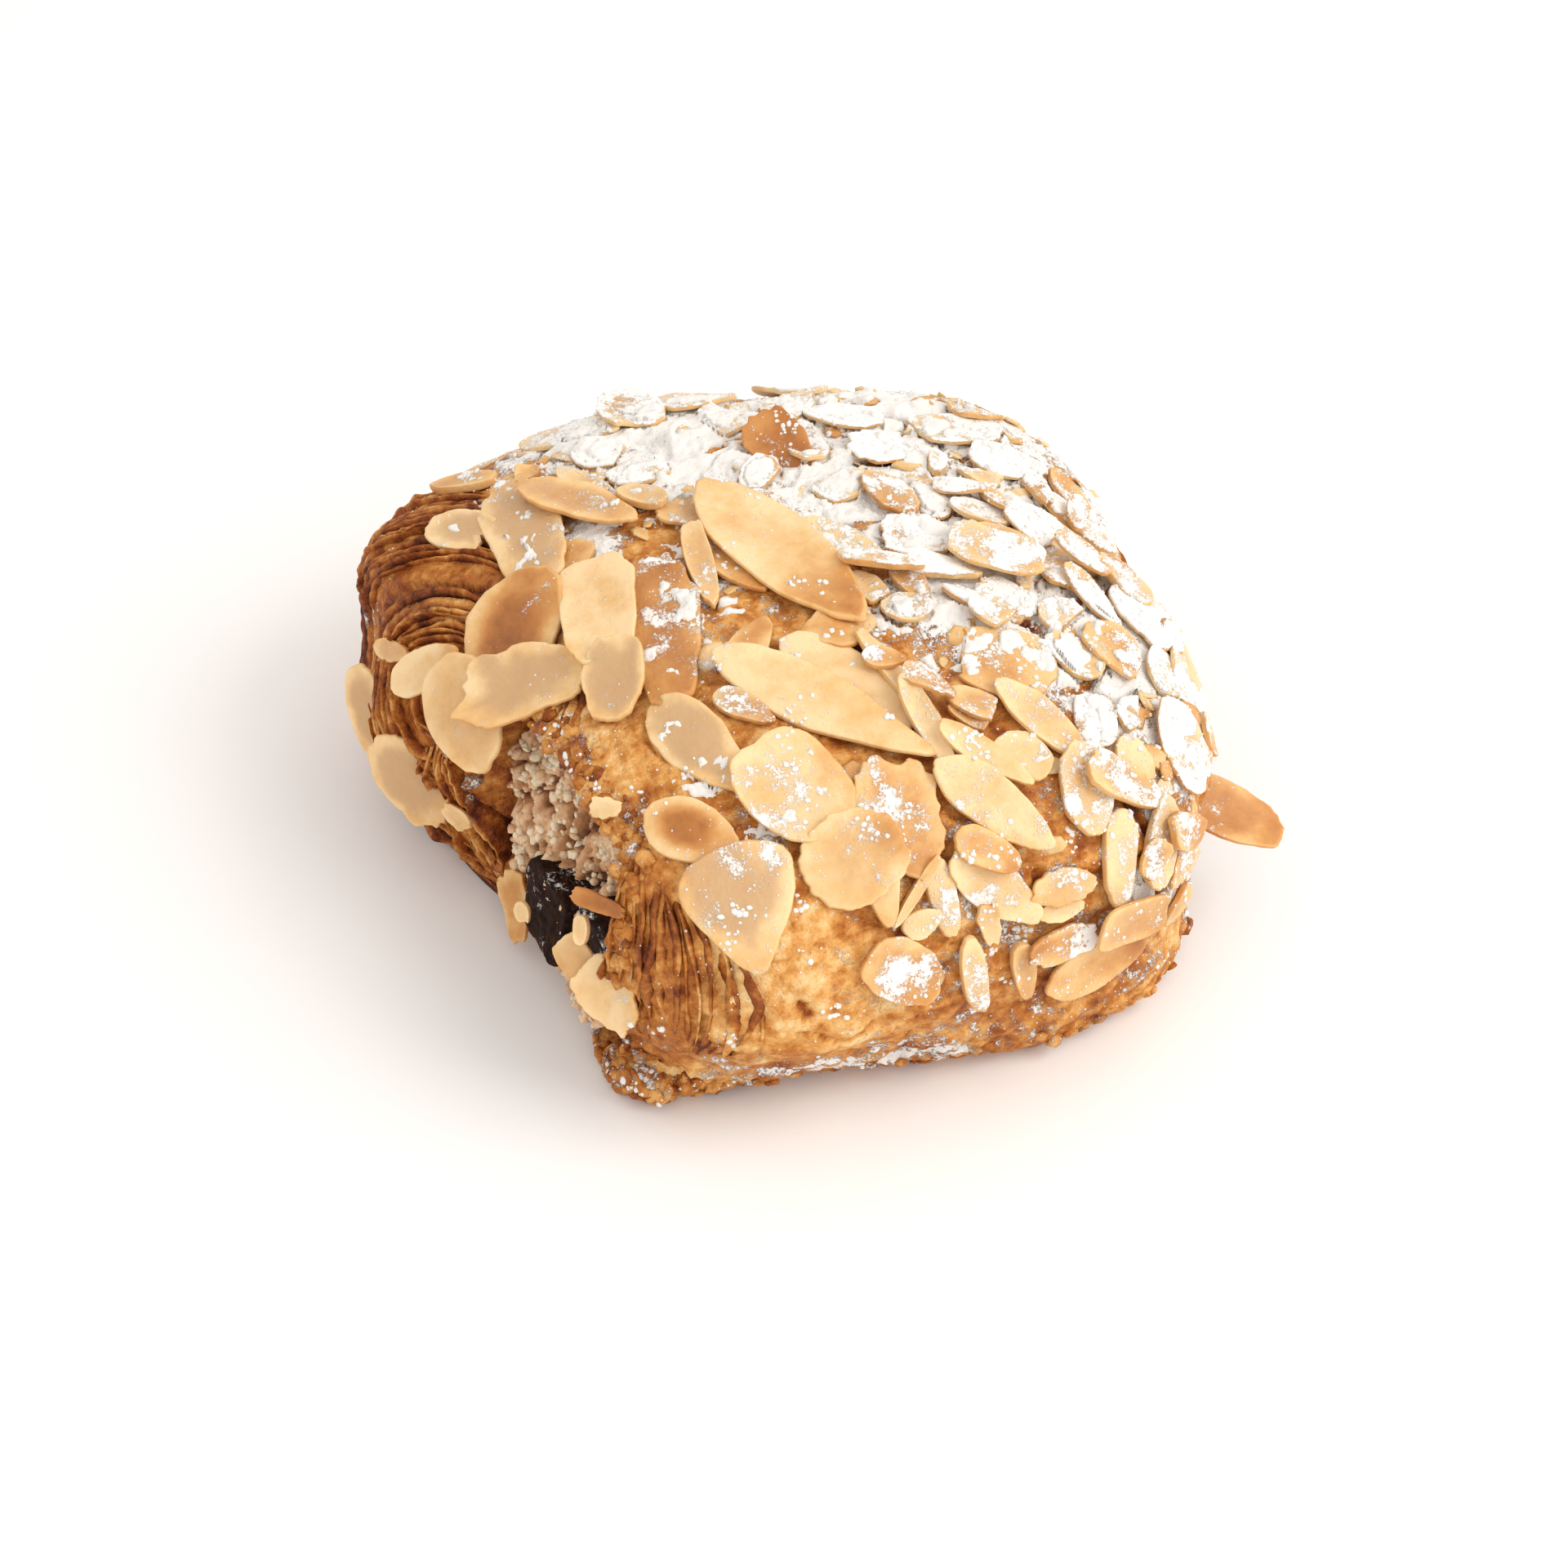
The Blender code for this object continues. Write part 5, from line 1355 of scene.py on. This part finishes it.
# Crumbs, chips, bits of crust and powdered sugar.
sugarDrift = dict(cells=270, blotch=(6.0, 0.85), clump=(2.0, 0.62), grain=(0.75, 0.36),
                  crevice=0.55, creviceFrom=0.3, creviceRun=0.4, barely=0.74, thin=0.42, crack=1.1,
                  step=1.0, climb=1.9, overBody=0.1, tall=1.5, most=0.95, sunk=3.0, hidden=-1.3, lowest=0.1,
                  blur=7, steep=0.35, edgeFrom=0.985)
sugarLumps = dict(clusters=430, perCluster=(3, 13), spread=0.9, size=(0.18, 0.55), smaller=1.3,
                  flatness=0.45, thickest=1.5, leastHeight=1.0, seed=17)
sugarGrains = dict(count=8000, size=(0.08, 0.20), flatness=0.8)
crustBits = dict(count=800, size=(0.25, 1.2), smaller=1.5, flatness=0.55, footBand=(0.2, 6.0), footSoft=1.0,
                 footClear=1.1, footShare=0.4, cornerShare=3.0, mouthShare=1.3, mouthBand=(1.05, 1.30),
                 mouthSoft=0.05, mouthLastX=-30.0, mouthLeastZ=3.0, lowest=0.1, bakeAndShade=(0.30, 0.75),
                 sugar=(0.0, 0.5), seed=29)
granules = dict(count=1500, size=(0.22, 0.75), flatness=0.85, endFrom=20.0, light=(0.55, 1.35), sugar=0.2,
                seed=27)
almondChips = dict(count=260, size=(0.6, 1.9), flatness=0.20, lift=0.25, mostAbove=0.7, leastSugar=0.15,
                   leastHeight=22.0, mostSteep=0.7, leastX=-25.0, tilt=0.18, square=0.6,
                   toasts=(0.1, 0.2, 0.2, 0.3, 0.45), sugar=0.35, seed=23)
dropping = dict(above=14.0, reach=40.0, leastUp=-0.1)
bitShape = dict(stretch=(0.7, 1.3), rough=(-0.22, 0.22))


def landings(starts, normals, tree):
    # where rays from above the skin land, the surface's normals there, and which rays landed
    spots, facings, kept = [], [], []
    for number, (start, normal) in enumerate(zip(starts, normals)):
        origin = Vector(start + normal * dropping["above"])
        place, facing, _, _ = tree.ray_cast(origin, Vector(-normal), dropping["reach"])
        if place is not None and facing.z > dropping["leastUp"]:
            spots.append(place[:])
            facings.append(facing[:])
            kept.append(number)
    return np.array(spots), np.array(facings), np.array(kept)


def scattered(base, baseFaces, spots, facings, sizes, rng, flatness):
    # one small form at each spot, as whole arrays: stretched, turned at random and pushed out of round
    count = len(spots)
    stretch = sizes[:, None] * rng.uniform(*bitShape["stretch"], (count, 3)) * (1, 1, flatness)
    rough = 1 + rng.uniform(*bitShape["rough"], (count, len(base), 1))
    local = base[None] * rough * stretch[:, None]
    side = unit(np.cross(facings, unit(rng.normal(size=(count, 3)))))
    third = np.cross(facings, side)
    points = spots[:, None] + (local[..., :1] * side[:, None] + local[..., 1:2] * third[:, None]
                               + local[..., 2:] * facings[:, None])
    faces = baseFaces[None] + (np.arange(count) * len(base))[:, None, None]
    return points.reshape(-1, 3), faces.reshape(-1, 3), {}


def ballForm(rows, columns):
    # a ball: rings of equal steps from pole to pole
    polar = np.pi * (np.arange(rows) + 1) / (rows + 1)
    angle = np.linspace(0, 2 * np.pi, columns, endpoint=False)
    ring = np.stack([np.sin(polar)[:, None] * np.cos(angle), np.sin(polar)[:, None] * np.sin(angle),
                     np.cos(polar)[:, None] * np.ones(columns)], -1).reshape(-1, 3)
    return np.concatenate([ring, [(0, 0, 1), (0, 0, -1)]]), closedFaces(rows, columns)


smallBit = ballForm(4, 7)


def groundTree():
    points, faces, _ = joined([(points, faces, {}) for points, faces in ground])
    return BVHTree.FromPolygons(points.tolist(), faces.tolist())


def dropChips():
    # broken bits of almond, most of them where the sugar is
    looks, tree = almondChips, groundTree()
    rng = np.random.default_rng(looks["seed"])
    skin, skinFaces, marks = bodyForm
    normals = vertexNormals(skin, skinFaces)
    weight = np.clip(marks["sugar"] - looks["leastSugar"], 0, 1) * (skin[:, 2] > looks["leastHeight"])
    weight = weight * (np.abs(normals[:, 0]) < looks["mostSteep"]) * (skin[:, 0] > looks["leastX"])
    chosen = rng.choice(len(skin), looks["count"], p=weight / weight.sum())
    spots, facings, kept = landings(skin[chosen], normals[chosen], tree)
    isBare = np.linalg.norm(spots - skin[chosen][kept], axis=1) < looks["mostAbove"]
    spots = spots[isBare]
    facings = unit(facings[isBare] + rng.normal(size=(len(spots), 3)) * looks["tilt"])
    sizes = rng.uniform(*looks["size"], len(spots))
    base, baseFaces = smallBit
    base = np.sign(base) * np.abs(base) ** looks["square"]
    spots = spots + facings * looks["lift"]
    points, faces, _ = scattered(base, baseFaces, spots, facings, sizes, rng, looks["flatness"])
    toastAndShade = np.repeat(rng.choice(looks["toasts"], len(spots)), len(base))
    chips = points, faces, dict(toastAndShade=toastAndShade, milky=0 * toastAndShade, sugar=looks["sugar"] + 0 * toastAndShade)
    newPiece("almondChips", chips, flakedAlmond)


def strewCrust():
    # bits of crust along the front foot, most at its near corner, and about the near end's opening
    looks = crustBits
    rng = np.random.default_rng(looks["seed"])
    skin, skinFaces, _ = bodyForm
    normals = vertexNormals(skin, skinFaces)
    reach = mouthReach(skin)
    nearFoot = within(skin[:, 2], looks["footBand"], looks["footSoft"]) * (skin[:, 1] < 0)
    nearFoot = nearFoot * (reach > looks["footClear"])
    nearMouth = within(reach, looks["mouthBand"], looks["mouthSoft"]) * (skin[:, 0] < looks["mouthLastX"])
    nearMouth = nearMouth * (skin[:, 2] > looks["mouthLeastZ"])
    weight = nearFoot * (looks["footShare"] + looks["cornerShare"] * nearLump(skin))
    weight = weight + looks["mouthShare"] * nearMouth
    chosen = rng.choice(len(skin), looks["count"], p=weight / weight.sum())
    sizes = rng.uniform(*looks["size"], len(chosen)) ** looks["smaller"]
    base, baseFaces = smallBit
    points, faces, _ = scattered(base, baseFaces, skin[chosen], normals[chosen], sizes, rng,
                                 looks["flatness"])
    points[:, 2] = np.maximum(points[:, 2], looks["lowest"])
    bakeAndShade = np.repeat(rng.uniform(*looks["bakeAndShade"], len(chosen)), len(base))
    sugar = np.repeat(rng.uniform(*looks["sugar"], len(chosen)), len(base))
    newPiece("crustBits", (points, faces, dict(bakeAndShade=bakeAndShade, sugar=sugar)), bakedCrust)


def strewGranules():
    # grains of baked almond over the crumb at both ends
    looks = granules
    rng = np.random.default_rng(looks["seed"])
    crumb, crumbFaces, _ = crumbForm
    normals = vertexNormals(crumb, crumbFaces)
    weight = np.clip(np.abs(normals[:, 0]), 0, 1) * mouthReach(crumb)
    weight = weight * (np.abs(crumb[:, 0]) > looks["endFrom"])
    chosen = rng.choice(len(crumb), looks["count"], p=weight / weight.sum())
    sizes = rng.uniform(*looks["size"], len(chosen))
    base, baseFaces = smallBit
    points, faces, _ = scattered(base, baseFaces, crumb[chosen], normals[chosen], sizes, rng,
                                 looks["flatness"])
    light = np.repeat(rng.uniform(*looks["light"], len(chosen)), len(base))
    marks = dict(light=light, sugar=looks["sugar"] + 0 * light)
    newPiece("crumbGranules", (points, faces, marks), almondCrumbFinish)


def heightsAt(tree, spots):
    # how high the tree's surface is over each spot of the floor, by a ray straight down
    above, down = 2 * dough["topHeight"], Vector((0, 0, -1))
    return above - np.array([tree.ray_cast(Vector((x, y, above)), down)[3] for x, y in spots.tolist()])


def evenedOut(heights, times):
    # each height of a grid averaged with its neighbours, along one side and then the other
    for _ in range(times):
        for axis in (0, 1):
            heights = (heights + np.roll(heights, 1, axis) + np.roll(heights, -1, axis)) / 3
    return heights


def lowestAround(heights):
    for axis in (0, 1):
        heights = np.min([np.roll(heights, step, axis) for step in (-1, 0, 1)], axis=0)
    return heights


def sugarDepth(points, skin, cover, hollow):
    # how far the sheet stands above what it lies on: the cover, more in hollows and less at cracks, broken
    # up by three sizes of noise, and rounded off at the most
    looks = sugarDrift
    crevice = looks["crevice"] * smoothStep((cover - looks["creviceFrom"]) / looks["creviceRun"]) * hollow
    pile = cover - looks["barely"] + crevice - looks["crack"] * crackDepth(skin)
    for seed, key in ((501, "blotch"), (511, "clump"), (521, "grain")):
        pile = pile + noiseAt(points, looks[key], seed, 2)
    pile = pile * looks["tall"]
    return np.where(pile > 0, looks["most"] * np.tanh(pile / looks["most"]), pile * looks["sunk"])


def driftSugar():
    # one sheet of powder over the whole top: it comes out where there is much sugar and in hollows, and
    # dives under the surface elsewhere, also at the steps beside raised flakes
    looks, tree = sugarDrift, groundTree()
    count = looks["cells"] + 1
    u, v = np.meshgrid(np.linspace(-1, 1, count), np.linspace(-1, 1, count), indexing="ij")
    reach = (dough["halfLength"], dough["halfWidth"], dough["topHeight"] - dough["bellyHeight"])
    skin = doughSurface(np.stack([u.ravel(), v.ravel(), np.ones(u.size)], 1) * reach)
    number = np.arange(u.size).reshape(count, count)
    a, b, c, d = number[:-1, :-1], number[1:, :-1], number[1:, 1:], number[:-1, 1:]
    faces = np.concatenate([np.stack([a, b, c], -1), np.stack([a, c, d], -1)]).reshape(-1, 3)
    normals = vertexNormals(skin, faces)
    bodyTree = BVHTree.FromPolygons(bodyForm[0].tolist(), bodyForm[1].tolist())
    tops, bodyTops = heightsAt(tree, skin[:, :2]), heightsAt(bodyTree, skin[:, :2])
    tops = np.where(tops - bodyTops > looks["climb"], bodyTops, tops)
    points = np.stack([skin[:, 0], skin[:, 1], tops], 1)
    cover = sugarCover(skin, normals)
    hollow = evenedOut(tops.reshape(count, count), looks["blur"]).ravel() - tops
    pile = sugarDepth(points, skin, cover, hollow)
    isEdge = (np.maximum(np.abs(u), np.abs(v)) > looks["edgeFrom"]).ravel()
    pile = np.where(isEdge | (normals[:, 2] < looks["steep"]), looks["hidden"] * 2, pile)
    points[:, 2] += np.maximum(pile, looks["hidden"] * (1 + isEdge))
    raised = (tops - bodyTops).reshape(count, count)
    isStep = (raised - lowestAround(raised) > looks["step"]).ravel()
    isThin = (pile < -flakeShape["thick"] / 2) & (cover < looks["thin"])
    isThin = isThin & (tops > bodyTops + looks["overBody"])
    heights = np.where(isStep | isThin, bodyTops + looks["hidden"], points[:, 2])
    points[:, 2] = np.maximum(heights, looks["lowest"])
    rim = np.concatenate([number[:-1, 0], number[-1, :-1], number[:0:-1, -1], number[0, :0:-1]])
    under = np.stack([np.full(len(rim), len(points)), np.roll(rim, -1), rim], 1)
    points = np.concatenate([points, [(0.0, 0.0, dough["bellyHeight"])]])
    faces = np.concatenate([faces, under])
    newPiece("sugarDrift", (points, facingOut(points, faces), {}), powderedSugar, isGround=False)


def sprinkleSugar():
    # clusters of lumps, and single grains, each where a ray onto the sugared skin lands
    tree = groundTree()
    rng = np.random.default_rng(sugarLumps["seed"])
    skin, skinFaces, marks = bodyForm
    normals = vertexNormals(skin, skinFaces)
    weight = marks["sugar"] ** sugarLumps["thickest"] * (skin[:, 2] > sugarLumps["leastHeight"])
    weight = weight / weight.sum()
    heart = rng.choice(len(skin), sugarLumps["clusters"], p=weight)
    heart = np.repeat(heart, rng.integers(*sugarLumps["perCluster"], len(heart)))
    starts = skin[heart] + rng.normal(size=(len(heart), 3)) * sugarLumps["spread"]
    spots, facings, _ = landings(starts, normals[heart], tree)
    sizes = rng.uniform(*sugarLumps["size"], len(spots)) ** sugarLumps["smaller"]
    ball, ballFaces = ballForm(3, 6)
    lumps = scattered(ball, ballFaces, spots, facings, sizes, rng, sugarLumps["flatness"])
    newPiece("sugarLumps", lumps, powderedSugar, isGround=False)
    grainAt = rng.choice(len(skin), sugarGrains["count"], p=weight)
    starts = skin[grainAt] + rng.normal(size=(len(grainAt), 3))
    spots, facings, _ = landings(starts, normals[grainAt], tree)
    sizes = rng.uniform(*sugarGrains["size"], len(spots))
    tiny, tinyFaces = ballForm(1, 4)
    grains = scattered(tiny, tinyFaces, spots, facings, sizes, rng, sugarGrains["flatness"])
    newPiece("sugarGrains", grains, powderedSugar, isGround=False)


dropChips()
strewCrust()
strewGranules()
driftSugar()
sprinkleSugar()

# Floor, light and camera.
studio = dict(floorColour=(0.90, 0.895, 0.89), floorRough=0.85, floorReach=2.5,
              worldColour=(1.0, 0.965, 0.93), worldStrength=1.0,
              keyLight=(2.8, 0.45, (0.40, -0.36, 0.56), (1.0, 0.97, 0.93)),    # power, size, place, colour
              fillLight=(1.0, 0.9, (-0.10, -0.85, 0.45), (1.0, 1.0, 1.0)))
camera = dict(azimuth=-22.0, elevation=42.0, distance=0.52, lens=90.0, sensor=36.0,
              nearest=0.01, farthest=20.0, left=0.00193, raised=0.0062)


def makeFloor():
    mesh = bpy.data.meshes.new("floor")
    reach = studio["floorReach"]
    mesh.from_pydata([(-reach, -reach, 0), (reach, -reach, 0), (reach, reach, 0), (-reach, reach, 0)], [],
                     [(0, 1, 2, 3)])
    floor = bpy.data.objects.new("floor", mesh)
    bpy.context.scene.collection.objects.link(floor)
    material, tree, shader = newMaterial("paleTable")
    shader.inputs["Base Color"].default_value = (*studio["floorColour"], 1.0)
    shader.inputs["Roughness"].default_value = studio["floorRough"]
    mesh.materials.append(material)


def makeAreaLight(name, power, size, place, colour):
    lamp = bpy.data.lights.new(name, "AREA")
    lamp.energy, lamp.size, lamp.color = power, size, colour
    light = bpy.data.objects.new(name, lamp)
    bpy.context.scene.collection.objects.link(light)
    light.location = place
    light.rotation_euler = (-Vector(place)).to_track_quat("-Z", "Y").to_euler()


def makeWorld():
    world = bpy.data.worlds.new("studio")
    bpy.context.scene.world = world
    world.use_nodes = True
    shade = world.node_tree.nodes["Background"]
    shade.inputs["Color"].default_value = (*studio["worldColour"], 1.0)
    shade.inputs["Strength"].default_value = studio["worldStrength"]


def makeCamera():
    azimuth, elevation = math.radians(camera["azimuth"]), math.radians(camera["elevation"])
    back = Vector((math.sin(azimuth) * math.cos(elevation), -math.cos(azimuth) * math.cos(elevation),
                   math.sin(elevation)))
    right = Vector((math.cos(azimuth), math.sin(azimuth), 0))
    up = back.cross(right)
    lens = bpy.data.cameras.new("camera")
    lens.lens, lens.sensor_width = camera["lens"], camera["sensor"]
    lens.clip_start, lens.clip_end = camera["nearest"], camera["farthest"]
    view = bpy.data.objects.new("camera", lens)
    bpy.context.scene.collection.objects.link(view)
    target = Vector(originShift * mm) - right * camera["left"] + up * camera["raised"]
    view.location = target + back * camera["distance"]
    view.rotation_euler = (-back).to_track_quat("-Z", "Y").to_euler()
    bpy.context.scene.camera = view


makeFloor()
makeWorld()
for name in ("keyLight", "fillLight"):
    makeAreaLight(name, *studio[name])
makeCamera()
bpy.context.scene.view_settings.view_transform = "Standard"
print("stage made")
